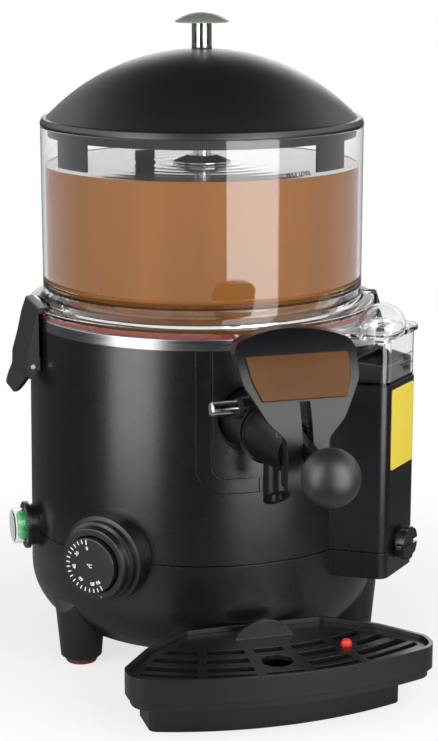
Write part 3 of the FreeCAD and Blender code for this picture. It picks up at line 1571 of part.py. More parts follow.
def tray_front_corner(side_inset, front_inset, z):
    """Arc that rounds the corner between the bowed front and the straight side."""
    corner = tray_corner_radius - side_inset / 2
    side = tray_half_width - side_inset
    bow = tray_front_radius - front_inset
    centre = forward(tray_bow, z)
    middle = forward(tray_bow + math.sqrt((bow - corner) ** 2 - (side - corner) ** 2), z, side - corner)
    toward_front = (middle - centre).normalize()
    halfway = (toward_front + RIGHT).normalize()
    return middle + toward_front * corner, middle + halfway * corner, middle + RIGHT * corner


def tray_corners(side_inset, hip_inset, back_inset, z):
    """Corners of the tray's plan at its right side, hip and heel, once its edges are moved inward."""
    line = [forward(tray_front, z, tray_half_width), forward(tray_side_forward, z, tray_half_width),
            forward(tray_hip_forward, z, tray_hip_half_width), forward(tray_back, z, tray_back_half_width),
            forward(tray_back, z, -tray_back_half_width)]
    return inset_corners(line, (side_inset, hip_inset, hip_inset, back_inset))


def tray_block(insets, low_z, high_z):
    """Upright prism of the tray's plan, moved inward at its side, hip, front and back."""
    side_inset, hip_inset, front_inset, back_inset = insets
    side, hip, heel = tray_corners(side_inset, hip_inset, back_inset, low_z)
    front = tray_front_corner(side_inset, front_inset, low_z)
    far_heel = Vec(-heel.x, heel.y, heel.z)
    right = [front, corner_arc(front[-1], side, hip, tray_side_radius),
             corner_arc(side, hip, heel, tray_hip_radius), corner_arc(hip, heel, far_heel, tray_heel_radius)]
    left = [[Vec(-point.x, point.y, point.z) for point in reversed(arc)] for arc in reversed(right)]
    bow = (left[-1][-1], forward(tray_front - front_inset, low_z), right[0][0])
    return Part.Face(closed_wire([bow] + right + left)).extrude(UP * (high_z - low_z))


def drip_tray():
    bevel_top_z = tray_band_z + tray_bevel
    wall = [tray_wall] * 4
    ledge = [tray_wall + grid_ledge] * 4
    base_inside = [inset + tray_wall for inset in tray_base_insets]
    band = tray_block([0] * 4, bevel_top_z, tray_height)
    bevel = tray_block(tray_bevel_insets, tray_band_z, bevel_top_z)
    base = tray_block(tray_base_insets, 0, tray_band_z)
    upper = tray_block(wall, tray_grid_z, tray_height)
    middle = tray_block(ledge, tray_band_z + tray_floor, tray_grid_z)
    lower = tray_block(base_inside, tray_floor, tray_band_z + tray_floor)
    return joined(band, bevel, base).cut([upper, middle, lower])


def grid_field():
    """Room for the slots inside the grid's border: the plan's own edges, with plain corners."""
    inset = tray_wall + grid_gap + grid_rib
    right = [forward(tray_front, tray_grid_z, tray_half_width - inset)]
    right += tray_corners(inset, inset, inset, tray_grid_z)
    left = [Vec(-point.x, point.y, point.z) for point in reversed(right)]
    prism = Part.Face(Part.makePolygon(right + left + right[:1])).extrude(UP * grid_thickness)
    bow = forward(tray_bow, tray_grid_z)
    return prism.common(rod(tray_front_radius - inset, bow, bow + UP * grid_thickness))


def grid_slots():
    """Slots in rings about the drum's axis, parted by radial bars and the field around the drain hole."""
    field = grid_field()
    half_bar = grid_rib / 2
    solid_parts = [turned(block((-half_bar, half_bar), (-tray_front, 0), (0, tray_height)), azimuth)
                   for azimuth in grid_bar_azimuths]
    solid_parts.append(block((-grid_hub_half_width, grid_hub_half_width),
                             (-tray_back - grid_hub_front, -tray_back - grid_hub_back), (0, tray_height)))
    bars = turned(joined(*solid_parts), grid_turn)
    slots = []
    for start, width in grid_rings:
        inner = tray_back + start
        ring = pipe(inner + width, inner, UP * tray_grid_z, UP * tray_grid_top_z)
        slots.append(ring.common(field).cut(bars))
    return slots


def drain_hole():
    place = forward(tray_front - drain_hole_setback, 0)
    return turned(rod(drain_hole_radius, place, place + UP * tray_height), grid_turn)


def tray_grid():
    plate = tray_block([tray_wall + grid_gap] * 4, tray_grid_z, tray_grid_top_z)
    tab_back = tray_back + tab_forward
    tab_radius = (tab_width ** 2 / 4 + tab_height ** 2) / (2 * tab_height)
    tab_middle = tray_grid_top_z + tab_height - tab_radius
    disc = rod(tab_radius, forward(tab_back, tab_middle, tab_centre),
               forward(tab_back + tab_thickness, tab_middle, tab_centre))
    tab = disc.common(block((-base_radius, base_radius), (-tray_front, 0),
                            (tray_grid_z, tray_grid_top_z + tab_height + free_play)))
    bore = float_stem_radius + slip
    collar = rod(bore + float_collar, float_place + UP * tray_grid_z, float_place + UP * tray_grid_top_z)
    hole = rod(bore, float_place, float_place + UP * tray_height)
    return joined(plate.cut(grid_slots() + [drain_hole()]), tab, collar).cut(hole)


def tray_float():
    foot = float_place + UP * (tray_floor + slip)
    top = float_place + UP * (tray_grid_top_z + float_show)
    disc = rod(float_disc_radius, foot, float_place + UP * (tray_floor + float_disc_height))
    return joined(disc, rod(float_stem_radius, foot, top), Part.makeSphere(float_stem_radius, top))


# ---------------------------------------------------------------------------------------------
# Cable inlet and terminals
# ---------------------------------------------------------------------------------------------
def cable_gland():
    inner = forward(base_radius - gland_depth, gland_z)
    tube = pipe(gland_radius, gland_bore_radius, inner, forward(gland_reach, gland_z))
    nut = pipe(gland_nut_radius, gland_bore_radius, inner, forward(gland_reach - gland_nut_setback, gland_z))
    return turned(joined(tube, nut.cut(base_solid(0, seam_z))), 180)


def terminal_block():
    low = base_floor_z + cover_thickness
    high = low + terminal_height
    middle = terminal_back - terminal_width / 2
    case = block((-terminal_length / 2, terminal_length / 2), (terminal_back - terminal_width, terminal_back),
                 (low, high))
    wells = []
    for index in range(terminal_count):
        x = terminal_pitch * (index - (terminal_count - 1) / 2)
        well_floor = Vec(x, middle, high - terminal_well_depth)
        wells.append(rod(terminal_well_radius, well_floor, Vec(x, middle, high)))
    return case.cut(wells)


# ---------------------------------------------------------------------------------------------
# Export
# ---------------------------------------------------------------------------------------------
os.makedirs("parts", exist_ok=True)

export("base_shell", base_shell())
export("foot_pads", *foot_pads())
export("bottom_cover", bottom_cover())
export("body_shell", body_shell())
export("front_panel", front_panel())
export("bain_marie_tank", bain_marie_tank())
export("heating_element", heating_element())
export("safety_cutout", safety_cutout())
export("outlet_elbow", outlet_elbow())
export("water_pipe", water_pipe())
export("shaft_seals", seal_ring(tank_floor_z, tank_wall), seal_ring(bowl_floor_z + bowl_wall, bowl_wall))
export("bowl", bowl())
export("bowl_gaskets", bowl_gasket(), outlet_gasket())
export("lid", lid())
export("lid_skirt", lid_skirt())
export("knob_post", knob_post())
export("knob_nut", knob_nut())
export("knob_cap", knob_cap())
export("stirrer_column", stirrer_column())
export("stirrer_disc", stirrer_disc())
export("stirrer_paddle", stirrer_paddle())
export("drive_shaft", drive_shaft())
export("shaft_coupling", shaft_coupling())
export("output_shaft", output_shaft())
export("gear_motor", gear_motor())
export("motor_bracket", motor_bracket())
export("tap_root", tap_root())
export("tap_body", tap_body())
export("lock_pin", lock_pin())
export("lock_collar", lock_collar())
export("pivot_pin", pivot_pin())
export("piston", piston())
export("piston_rings", *piston_rings())
export("lever", lever())
export("ball_knob", ball_knob())
export("shield_plate", shield_plate())
export("pan_head_screws", *cover_screws(), *motor_screws(), shield_screw())
export("label_plate", label_plate())
export("dial_bezel", dial_bezel())
export("dial_knob", dial_knob())
export("dial_shaft", dial_shaft())
export("thermostat", thermostat())
export("switch_housing", switch_housing())
export("switch_body", switch_body())
export("switch_rocker", switch_rocker())
export("switch_cap", switch_cap())
export("water_cup", water_cup())
export("cup_insert", cup_insert())
export("cup_lid", cup_lid())
export("drain_fitting", drain_fitting())
export("drain_cap", drain_cap())
export("notice_panel", notice_panel())
export("latch_right", turned(latch(), latch_azimuths[0]))
export("latch_left", turned(latch(), latch_azimuths[1]))
export("latch_pins", *[turned(latch_pin(), azimuth) for azimuth in latch_azimuths])
export("drip_tray", drip_tray())
export("tray_grid", tray_grid())
export("tray_float", tray_float())
export("cable_gland", cable_gland())
export("terminal_block", terminal_block())
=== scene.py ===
"""Looks of a countertop hot chocolate dispenser, dressed over its CAD frame.

Lengths are in metres, in the frame of the CAD: +Z is up, -Y is the machine's front, +X is on the
right of someone who stands before it, and the origin is on the bench below the drum's axis. An
azimuth is turned about +Z from the front, and grows toward +X.
"""
import bmesh
import bpy
import math
from mathutils import Matrix, Vector


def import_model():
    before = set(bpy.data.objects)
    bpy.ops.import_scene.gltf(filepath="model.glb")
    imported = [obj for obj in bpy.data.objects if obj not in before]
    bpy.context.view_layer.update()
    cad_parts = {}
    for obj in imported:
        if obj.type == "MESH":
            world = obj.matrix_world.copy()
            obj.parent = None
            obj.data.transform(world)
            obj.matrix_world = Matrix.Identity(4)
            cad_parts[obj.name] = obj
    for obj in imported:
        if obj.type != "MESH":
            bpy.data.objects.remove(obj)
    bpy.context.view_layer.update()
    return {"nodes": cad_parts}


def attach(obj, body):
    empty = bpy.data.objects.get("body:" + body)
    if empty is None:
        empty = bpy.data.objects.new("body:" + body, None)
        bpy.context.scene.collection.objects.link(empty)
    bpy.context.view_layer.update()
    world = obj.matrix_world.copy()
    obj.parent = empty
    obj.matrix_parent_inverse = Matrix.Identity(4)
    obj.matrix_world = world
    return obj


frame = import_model()
nodes = frame["nodes"]

MM = 0.001
UP = Vector((0, 0, 1))
WHITE = (1, 1, 1, 1)


# ---------------------------------------------------------------------------------------------
# Helpers
# ---------------------------------------------------------------------------------------------
def outward(azimuth):
    """Level direction away from the drum's axis."""
    return Vector((math.sin(azimuth), -math.cos(azimuth), 0))


def add_object(name, data):
    item = bpy.data.objects.new(name, data)
    bpy.context.scene.collection.objects.link(item)
    return item


def take_mesh(name, bm):
    """Mesh made of a bmesh, which is used up."""
    mesh = bpy.data.meshes.new(name)
    bm.to_mesh(mesh)
    bm.free()
    return mesh


class Graph:
    """A node tree under construction, with short calls for its nodes."""

    def __init__(self, tree):
        self.nodes = tree.nodes
        self.links = tree.links

    def fill(self, node, inputs):
        """Links each input, named or numbered, to another node's output, or gives it a plain value."""
        for key, value in inputs.items():
            if isinstance(value, bpy.types.NodeSocket):
                self.links.new(value, node.inputs[key])
            else:
                node.inputs[key].default_value = value

    def add(self, kind, inputs, **settings):
        """A new node of a kind."""
        node = self.nodes.new("ShaderNode" + kind)
        for setting, value in settings.items():
            setattr(node, setting, value)
        self.fill(node, inputs)
        return node

    def maths(self, operation, first, second):
        return self.add("Math", {0: first, 1: second}, operation=operation).outputs["Value"]

    def along(self, place, direction):
        """How far a place lies along a direction."""
        return self.add("VectorMath", {0: place, 1: direction}, operation="DOT_PRODUCT").outputs["Value"]

    def ramp(self, source, start, end, low, high, course="LINEAR"):
        """Goes from low to high while a value goes from start to end."""
        ends = {"Value": source, "From Min": start, "From Max": end, "To Min": low, "To Max": high}
        return self.add("MapRange", ends, interpolation_type=course).outputs["Result"]

    def mix(self, share, first, second, kind="FLOAT"):
        """Between two values, or two colours where the kind is RGBA."""
        return self.add("Mix", {"Factor": share, "A": first, "B": second}, data_type=kind).outputs["Result"]

    def layer(self, share, under, over):
        """Between two surfaces."""
        return self.add("MixShader", {"Fac": share, 1: under, 2: over}).outputs["Shader"]

    def glow(self, strength):
        return self.add("Emission", {"Color": WHITE, "Strength": strength}).outputs["Emission"]

    def ray(self, *kinds):
        """1 for a ray of any of these kinds, otherwise 0."""
        path = self.add("LightPath", {})
        found = 0.0
        for kind in kinds:
            found = self.maths("MAXIMUM", found, path.outputs[f"Is {kind} Ray"])
        return found


# ---------------------------------------------------------------------------------------------
# Materials
# ---------------------------------------------------------------------------------------------
NOISE_MIDDLE = (0.3, 0.7)       # most of a noise is between these values
BEVEL_SAMPLES = 4


class Shader(Graph):
    """A material under construction, around its Principled node."""

    def __init__(self, name):
        self.material = bpy.data.materials.new(name)
        self.material.use_nodes = True
        super().__init__(self.material.node_tree)
        self.surface = self.nodes["Principled BSDF"]
        self.place = self.add("TexCoord", {}).outputs["Object"]

    def set(self, inputs):
        self.fill(self.surface, inputs)

    def show(self, surface):
        """Shows a surface in place of the Principled node's own."""
        self.fill(self.nodes["Material Output"], {"Surface": surface})

    def noise(self, scale, detail=2.0, squeeze=None):
        """Noise with features about 1/scale metres across, divided along each axis by its squeeze."""
        place = self.place
        if squeeze:
            place = self.add("Mapping", {"Vector": place, "Scale": squeeze}).outputs["Vector"]
        return self.add("TexNoise", {"Vector": place, "Scale": scale, "Detail": detail}).outputs["Fac"]

    def spread(self, noise, low, high):
        """Maps the middle of a noise to a range of values."""
        return self.ramp(noise, *NOISE_MIDDLE, low, high)

    def tint(self, noise, dark, light):
        """Base colour that wanders with a noise."""
        colour = self.mix(self.spread(noise, 0.0, 1.0), (*dark, 1), (*light, 1), kind="RGBA")
        self.set({"Base Color": colour})

    def gloss(self, noise, finest, dullest):
        """Roughness that wanders with a noise."""
        self.set({"Roughness": self.spread(noise, finest, dullest)})

    def bump(self, noise, depth, edge=0.0):
        """Bump of a depth, with edges that shade as if rounded to a radius."""
        inputs = {"Height": noise, "Distance": depth}
        if edge:
            rounding = self.add("Bevel", {"Radius": edge}, samples=BEVEL_SAMPLES)
            inputs["Normal"] = rounding.outputs["Normal"]
        self.set({"Normal": self.add("Bump", inputs).outputs["Normal"]})


def shade(colour, factor):
    return tuple(channel * factor for channel in colour)


def moulded(name, colour, roughness, grain=2400.0, depth=0.012 * MM, specular=0.5, edge=0.6 * MM):
    """Moulded plastic: fine grain, faint flow patches and uneven gloss."""
    shader = Shader(name)
    flow = shader.noise(scale=22.0, detail=3.0)
    shader.tint(flow, dark=shade(colour, 0.86), light=shade(colour, 1.14))
    wear = shader.noise(scale=75.0, detail=4.0)
    shader.gloss(wear, finest=roughness - 0.015, dullest=roughness + 0.015)
    shader.set({"Specular IOR Level": specular})
    shader.bump(shader.noise(grain, detail=3.0), depth, edge)
    return shader.material


def rubber(name, colour, roughness=0.6):
    """Rubber or silicone: dull, with a slight bloom."""
    shader = Shader(name)
    bloom = shader.noise(scale=160.0, detail=5.0)
    shader.tint(bloom, dark=shade(colour, 0.8), light=shade(colour, 1.25))
    shader.gloss(shader.noise(scale=400.0), finest=roughness - 0.06, dullest=roughness + 0.06)
    shader.bump(shader.noise(scale=1800.0), depth=0.04 * MM)
    return shader.material


def metal(name, colour, roughness, squeeze=(30.0, 30.0, 2600.0), depth=0.006 * MM):
    """Metal with fine lines across the axis that is squeezed most, or grain where all are alike."""
    shader = Shader(name)
    lines = shader.noise(scale=1.0, detail=4.0, squeeze=squeeze)
    shader.tint(lines, dark=shade(colour, 0.9), light=colour)
    shader.gloss(lines, finest=roughness - 0.05, dullest=roughness + 0.07)
    shader.set({"Metallic": 1.0})
    shader.bump(lines, depth, edge=0.4 * MM)
    return shader.material


def clear(name, tint, roughness, ior=1.5):
    """Clear plastic with faint haze marks in its gloss. Lamps and plain light pass straight through it."""
    shader = Shader(name)
    shader.set({"Base Color": (*tint, 1), "Transmission Weight": 1.0, "IOR": ior})
    haze = shader.noise(scale=90.0, detail=4.0)
    shader.gloss(haze, finest=roughness, dullest=roughness + 0.02)
    open_way = shader.add("BsdfTransparent", {"Color": (*tint, 1)}).outputs["BSDF"]
    shader.show(shader.layer(shader.ray("Shadow", "Diffuse"), shader.surface.outputs["BSDF"], open_way))
    return shader.material


def print_ink(name, colour, roughness=0.45):
    """Printed ink: thin, with slightly uneven cover."""
    shader = Shader(name)
    cover = shader.noise(scale=900.0, detail=3.0)
    shader.tint(cover, dark=shade(colour, 0.9), light=colour)
    shader.gloss(shader.noise(scale=500.0), finest=roughness - 0.05, dullest=roughness + 0.05)
    return shader.material


def liquid_chocolate():
    """Milk chocolate drink: warm brown with faint upright streaks, dull at the wall and wet on top."""
    shader = Shader("chocolate")
    streaks = shader.noise(scale=1.0, detail=3.0, squeeze=(34.0, 34.0, 3.0))
    shader.tint(streaks, dark=(0.205, 0.076, 0.015), light=(0.255, 0.097, 0.021))
    rise = shader.along(shader.add("NewGeometry", {}).outputs["Normal"], UP)
    wall_to_top = (0.3, 0.8)        # how far the surface faces up where the wall's finish ends
    shader.set({
        "Roughness": shader.ramp(rise, *wall_to_top, low=0.75, high=0.12),
        "Coat Weight": shader.ramp(rise, *wall_to_top, low=0.0, high=1.0),
        "Coat IOR": 2.4,
        "Coat Roughness": 0.04,
        "Specular IOR Level": 0.1,
        "Subsurface Weight": 0.2,
        "Subsurface Radius": (4.0 * MM, 1.8 * MM, 0.9 * MM),
        "Subsurface Scale": 1.0,
    })
    shader.bump(shader.noise(scale=30.0, detail=1.0), depth=0.03 * MM)
    return shader.material


BLACK = (0.0042, 0.0048, 0.0062)
materials = {
    "body_black": moulded("body plastic", BLACK, 0.28, specular=0.75),
    "lid_black": moulded("lid plastic", shade(BLACK, 1.1), 0.40, grain=1900.0, depth=0.015 * MM,
                         specular=0.85),
    "tray_black": moulded("tray plastic", shade(BLACK, 1.3), 0.36, grain=2100.0, specular=0.7),
    "tap_black": moulded("tap plastic", shade(BLACK, 0.9), 0.30, specular=0.42),
    "dial_black": moulded("dial plastic", shade(BLACK, 1.2), 0.36, grain=2800.0, specular=0.7),
    "bowl_clear": clear("bowl plastic", (0.985, 0.99, 0.99), 0.0),
    "cup_clear": clear("cup plastic", (0.975, 0.985, 0.985), 0.02),
    "insert_black": moulded("insert plastic", shade(BLACK, 0.8), 0.45, specular=0.15),
    "steel": metal("brushed steel", (0.42, 0.42, 0.43), 0.27),
    "chrome": metal("polished steel", (0.62, 0.62, 0.62), 0.16, (240.0, 240.0, 240.0), 0.003 * MM),
    "knob_green": moulded("knob plastic", (0.21, 0.245, 0.20), 0.42),
    "gasket_red": rubber("red silicone", (0.20, 0.016, 0.013)),
    "seal_dark": rubber("dark rubber", (0.025, 0.025, 0.027)),
    "pad_red": rubber("foot rubber", (0.20, 0.025, 0.018)),
    "label_brown": moulded("label plate", (0.094, 0.041, 0.016), 0.22, depth=0.01 * MM, specular=0.06,
                           edge=1.2 * MM),
    "notice_yellow": print_ink("notice film", (0.74, 0.57, 0.060), 0.35),
    "float_red": moulded("float plastic", (0.75, 0.025, 0.015), 0.3, depth=0.01 * MM),
    "switch_green": moulded("rocker plastic", (0.03, 0.42, 0.10), 0.3, depth=0.01 * MM),
    "switch_clear": clear("switch cap silicone", (0.93, 0.96, 0.94), 0.08, ior=1.42),
    "motor_metal": metal("cast metal", (0.45, 0.45, 0.46), 0.45, (500.0, 500.0, 500.0), 0.03 * MM),
    "white_plastic": moulded("white plastic", (0.72, 0.72, 0.69), 0.45),
}
# nodes drawn in a copy of their slot's plastic with another finish and another base colour: the ball
# lighter, which is a painted highlight, and the skirt darker, which is painted shade
materials_by_node = {
    # the ball's base colour is lighter than its slot's tap plastic as a painted highlight; its rougher
    # gloss is a real finish
    "ball_knob": moulded("ball plastic with painted highlight", shade(BLACK, 1.6), 0.46, specular=0.75),
    # the skirt's base colour is darker than its slot's lid plastic as painted shade; its duller, less
    # glossy finish is real
    "lid_skirt": moulded("skirt plastic with painted shade", shade(BLACK, 0.9), 0.5, grain=1900.0, specular=0.2),
}
for name, node in nodes.items():
    slot_name = node.data.materials[0].name
    node.material_slots[0].link = "OBJECT"
    node.material_slots[0].material = materials_by_node.get(name, materials[slot_name])


# ---------------------------------------------------------------------------------------------
# Pieces
# ---------------------------------------------------------------------------------------------
def finish_mesh(name, bm, material, body, smooth_angle=35.0):
    """Turns a bmesh into a piece that rides on a body."""
    bmesh.ops.recalc_face_normals(bm, faces=bm.faces)
    mesh = take_mesh(name, bm)
    mesh.shade_smooth()
    mesh.set_sharp_from_angle(angle=math.radians(smooth_angle))
    mesh.materials.append(material)
    piece = add_object(name, mesh)
    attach(piece, body)


def lathe(profile, steps=192):
    """Closed profile of (radius, height) points turned about the drum's axis."""
    bm = bmesh.new()
    rings = []
    for radius, height in profile:
        ring = []
        for step in range(steps):
            angle = 2 * math.pi * step / steps
            ring.append(bm.verts.new((radius * math.cos(angle), radius * math.sin(angle), height)))
        rings.append(ring)
    for lower, upper in zip(rings, rings[1:] + rings[:1]):
        for step in range(steps):
            after = (step + 1) % steps
            bm.faces.new((lower[step], lower[after], upper[after], upper[step]))
    return bm


# ---------------------------------------------------------------------------------------------
# Chocolate in the bowl: a thin skin against the bowl, open inside for the stirrer
# ---------------------------------------------------------------------------------------------
def chocolate():
    wall = 114.05 * MM              # radii: against the bowl's wall,
    neck = 100.85 * MM              # against its neck,
    seal = 12.0 * MM                # around the shaft's seal at the bottom,
    column = 7.0 * MM               # and around the stirrer's column at the top
    bottom = 225.4 * MM             # heights
    shelf = 274.3 * MM
    level = 357.4 * MM
    skin = 0.8 * MM
    chamfer = 4.0 * MM
    edge = wall - 3.0 * MM          # from here the surface turns up to the wall
    cling = 0.6 * MM                # how far it climbs there
    rings = 44                      # of points in the surface, which ripples and calms outward
    wave_height = 0.35 * MM
    wave_width = 2.3 * MM
    wave_fade = 28.0 * MM
    outside = [(seal, bottom), (neck - chamfer, bottom), (neck, bottom + chamfer)]
    outside += [(neck, shelf), (wall, shelf)]
    outside += [(wall, level + cling), (wall - cling, level + cling / 4), (edge, level)]
    for ring in range(1, rings):
        radius = edge - (edge - column) * ring / rings
        swell = wave_height * math.cos(radius / wave_width) * math.exp(-radius / wave_fade)
        outside.append((radius, level + swell))
    outside += [(column, level), (column, level - skin)]
    inside = [(edge, level - skin), (wall - skin, level - skin), (wall - skin, shelf + skin)]
    inside += [(neck - skin, shelf + skin), (neck - skin, bottom + chamfer)]
    inside += [(neck - chamfer, bottom + skin), (seal, bottom + skin)]
    bm = lathe(outside + inside)
    finish_mesh("chocolate", bm, liquid_chocolate(), "machine", smooth_angle=50.0)


chocolate()


# ---------------------------------------------------------------------------------------------
# Printed marks: dial scale and pointer, level marks on the bowl and the side cup
# ---------------------------------------------------------------------------------------------
INK = 0.12 * MM                     # thickness of a printed mark
SINK = 0.04 * MM                    # how deep it sits in the surface below
WELD = 0.001 * MM                   # points of a mark nearer than this are one
BAR_PART = 2.0 * MM                 # longest part of a bar, short enough to follow a round wall
CAPITAL_SHARE = 0.7                 # height of capitals in a font's size
BOLDNESS = 0.04                     # how much a stroke grows at its edge, per height of a letter

DIAL_AZIMUTH = math.radians(-46.0)
DIAL_Z = 94.4 * MM
DIAL_FACE = 157.0 * MM              # from the drum's axis to the knob's face,
BEZEL_FACE = 152.5 * MM             # and to the bezel's
FIRST_TICK = math.radians(-8.0)     # angles on the dial are clockwise from straight up
TICK_STEP = math.radians(-11.44)
LAST_TICK = 18
TICK_OUTSIDE = 19.0 * MM
TICK_INSIDE = 16.2 * MM
END_TICK_INSIDE = 15.4 * MM
TICK_WIDTH = 0.75 * MM
FIGURES = {0: "0", 4: "30", 8: "45", 12: "60", 16: "80", 18: "90"}      # by tick
FIGURE_RADIUS = 12.6 * MM
FIGURE_HEIGHT = 2.4 * MM
UNIT_HEIGHT = 2.6 * MM
POINTER = math.radians(164.0)
POINTER_INSIDE = 22.9 * MM
POINTER_OUTSIDE = 24.3 * MM
POINTER_WIDTH = 1.4 * MM

BOWL_MARK_AZIMUTH = math.radians(18.2)
BOWL_MARK_RADIUS = 117.2 * MM
BOWL_MARK_Z = 361.0 * MM
BOWL_MARK_HEIGHT = 2.9 * MM

CUP_AZIMUTH = math.radians(44.0)
CUP_FACE = 162.2 * MM               # from the drum's axis to the cup's outer wall
CUP_MAX_Z = 230.5 * MM
CUP_MIN_DROP = 7.0 * MM             # from the line of MAX to that of MIN
CUP_LINE_START = -1.5 * MM          # a line's reach across the wall
CUP_LINE_END = 19.5 * MM
CUP_LINE_WIDTH = 0.6 * MM
CUP_WORD_MIDDLE = 9.5 * MM
CUP_WORD_DROP = 3.2 * MM            # from a line to the middle of its word
CUP_WORD_HEIGHT = 3.4 * MM

white_ink = print_ink("white ink", (0.78, 0.78, 0.76))
grey_ink = print_ink("grey ink", (0.16, 0.16, 0.165))
black_ink = print_ink("black ink", (0.02, 0.02, 0.022))


def flat_place(azimuth, face, height):
    """Maps across, up and outward to a place on an upright plane that faces an azimuth."""
    facing = outward(azimuth)
    across = UP.cross(facing)

    def place(point):
        return facing * (face + point.z - SINK) + across * point.x + UP * (height + point.y)
    return place


def round_place(azimuth, radius, height):
    """The same on a round wall about the drum's axis, with across measured along the wall."""
    def place(point):
        return outward(azimuth + point.x / radius) * (radius + point.z - SINK) + UP * (height + point.y)
    return place


def clockwise(angle):
    """Direction in a mark's plane, turned clockwise from straight up."""
    return Vector((math.sin(angle), math.cos(angle)))


def add_bar(bm, start, end, width):
    """Flat bar between two points of a mark's plane."""
    along = (end - start).normalized() * width / 2
    aside = Vector((-along.y, along.x))
    parts = 1 + int((end - start).length / BAR_PART)
    rows = []
    for part in range(parts + 1):
        middle = start.lerp(end, part / parts)
        left, right = middle + aside, middle - aside
        corners = [(*left, 0), (*right, 0), (*right, INK), (*left, INK)]
        rows.append([bm.verts.new(corner) for corner in corners])
    for row, after in zip(rows, rows[1:]):
        for side in range(4):
            following = (side + 1) % 4
            bm.faces.new((row[side], row[following], after[following], after[side]))
    bm.faces.new(rows[0])
    bm.faces.new(rows[-1])


def add_words(bm, words, height, middle, turn=0.0):
    """Upright letters or figures, centred on a point of a mark's plane."""
    curve = bpy.data.curves.new("words", "FONT")
    curve.body = words
    curve.size = height / CAPITAL_SHARE
    curve.align_x = "CENTER"
    curve.align_y = "CENTER"
    curve.extrude = INK / 2
    curve.offset = height * BOLDNESS
    curve.resolution_u = 3
    item = add_object("words", curve)
    bpy.context.view_layer.update()
    mesh = bpy.data.meshes.new_from_object(item.evaluated_get(bpy.context.evaluated_depsgraph_get()))
    mesh.transform(Matrix.Translation((*middle, INK / 2)) @ Matrix.Rotation(turn, 4, "Z"))
    bm.from_mesh(mesh)
    bpy.data.meshes.remove(mesh)
    bpy.data.objects.remove(item)
    bpy.data.curves.remove(curve)


def printed(name, bm, place, material, body):
    """Puts a flat mark in its place and makes it a piece."""
    bmesh.ops.remove_doubles(bm, verts=bm.verts, dist=WELD)
    for vert in bm.verts:
        vert.co = place(vert.co)
    finish_mesh(name, bm, material, body)


def dial_scale():
    bm = bmesh.new()
    for tick in range(LAST_TICK + 1):
        angle = FIRST_TICK + TICK_STEP * tick
        toward = clockwise(angle)
        inside = END_TICK_INSIDE if tick in (0, LAST_TICK) else TICK_INSIDE
        add_bar(bm, toward * inside, toward * TICK_OUTSIDE, TICK_WIDTH)
        if tick in FIGURES:
            add_words(bm, FIGURES[tick], FIGURE_HEIGHT, toward * FIGURE_RADIUS, -angle)
    add_words(bm, "\N{DEGREE SIGN}C", UNIT_HEIGHT, Vector((0, 0)))
    knob = flat_place(DIAL_AZIMUTH, DIAL_FACE, DIAL_Z)
    printed("dial_scale", bm, knob, white_ink, "dial")


def dial_pointer():
    bm = bmesh.new()
    toward = clockwise(POINTER)
    add_bar(bm, toward * POINTER_INSIDE, toward * POINTER_OUTSIDE, POINTER_WIDTH)
    bezel = flat_place(DIAL_AZIMUTH, BEZEL_FACE, DIAL_Z)
    printed("dial_pointer", bm, bezel, grey_ink, "machine")


def bowl_level_mark():
    bm = bmesh.new()
    add_words(bm, "MAX LEVEL", BOWL_MARK_HEIGHT, Vector((0, 0)))
    wall = round_place(BOWL_MARK_AZIMUTH, BOWL_MARK_RADIUS, BOWL_MARK_Z)
    printed("bowl_level_mark", bm, wall, black_ink, "machine")


def cup_level_marks():
    bm = bmesh.new()
    for words, height in (("MAX", 0.0), ("MIN", -CUP_MIN_DROP)):
        add_bar(bm, Vector((CUP_LINE_START, height)), Vector((CUP_LINE_END, height)), CUP_LINE_WIDTH)
        add_words(bm, words, CUP_WORD_HEIGHT, Vector((CUP_WORD_MIDDLE, height - CUP_WORD_DROP)))
    wall = flat_place(CUP_AZIMUTH, CUP_FACE, CUP_MAX_Z)
    printed("cup_level_marks", bm, wall, black_ink, "machine")


dial_scale()
dial_pointer()
bowl_level_mark()
cup_level_marks()


# ---------------------------------------------------------------------------------------------
# Camera, floor and light
# ---------------------------------------------------------------------------------------------
CAMERA_AZIMUTH = math.radians(-16.0)
CAMERA_DISTANCE = 1.38782           # from the drum's axis
CAMERA_HEIGHT = 0.52875
CAMERA_PAN = 0.0089                 # radians to the right of the axis,
CAMERA_TILT = 0.2318                # and down
CAMERA_LENS = 92.61                 # this and the sensor in millimetres
CAMERA_SENSOR = 36.0
VIEW_AWAY = -outward(CAMERA_AZIMUTH)
VIEW_ACROSS = VIEW_AWAY.cross(UP)

FLOOR_RADIUS = 30.0
FLOOR_SEGMENTS = 96
FLOOR_GREY = (0.86, 0.86, 0.86, 1)
# ramps: where each starts and ends, and its values there
FLOOR_WHITE = (0.16, 0.40, 0.72, 1.0)       # share of plain white seen, by distance from the axis
FLOOR_MIRRORED = (0.30, 0.46, 0.6, 1.0)     # share of FLOOR_GLOSS in what gloss shows, likewise
FLOOR_GLOSS = (-0.3, 0.5, 0.03, 0.14)       # brightness, from before the machine to behind it

AMBIENT = 0.32                      # plain light from all round
GLOSS_FRONT = 0.03                  # what gloss shows of the room: before the machine and overhead,
GLOSS_SIDES = 1.6                   # at both sides,
GLOSS_BACK = 1.0                    # and behind it
# ramps of the same kind
SIDE_FADE = (0.2, 0.8, 0.0, GLOSS_SIDES)    # brightness, by how far a ray points aside,
BACK_FADE = (0.8, 0.98, 0.0, GLOSS_BACK)    # or away from the camera
SIDE_RISE = (0.06, 0.4, 0.1, 1.0)           # share of each that is left near the horizon,
BACK_RISE = (0.0, 0.12, 0.1, 1.0)
TOP_FADE = (0.45, 0.8, 1.0, 0.0)            # and of both overhead, by how far a ray points up

LAMP_TOP = 0.80


def aim(item, direction):
    """Turns a camera or lamp toward a direction."""
    item.rotation_mode = "QUATERNION"
    item.rotation_quaternion = direction.to_track_quat("-Z", "Y")


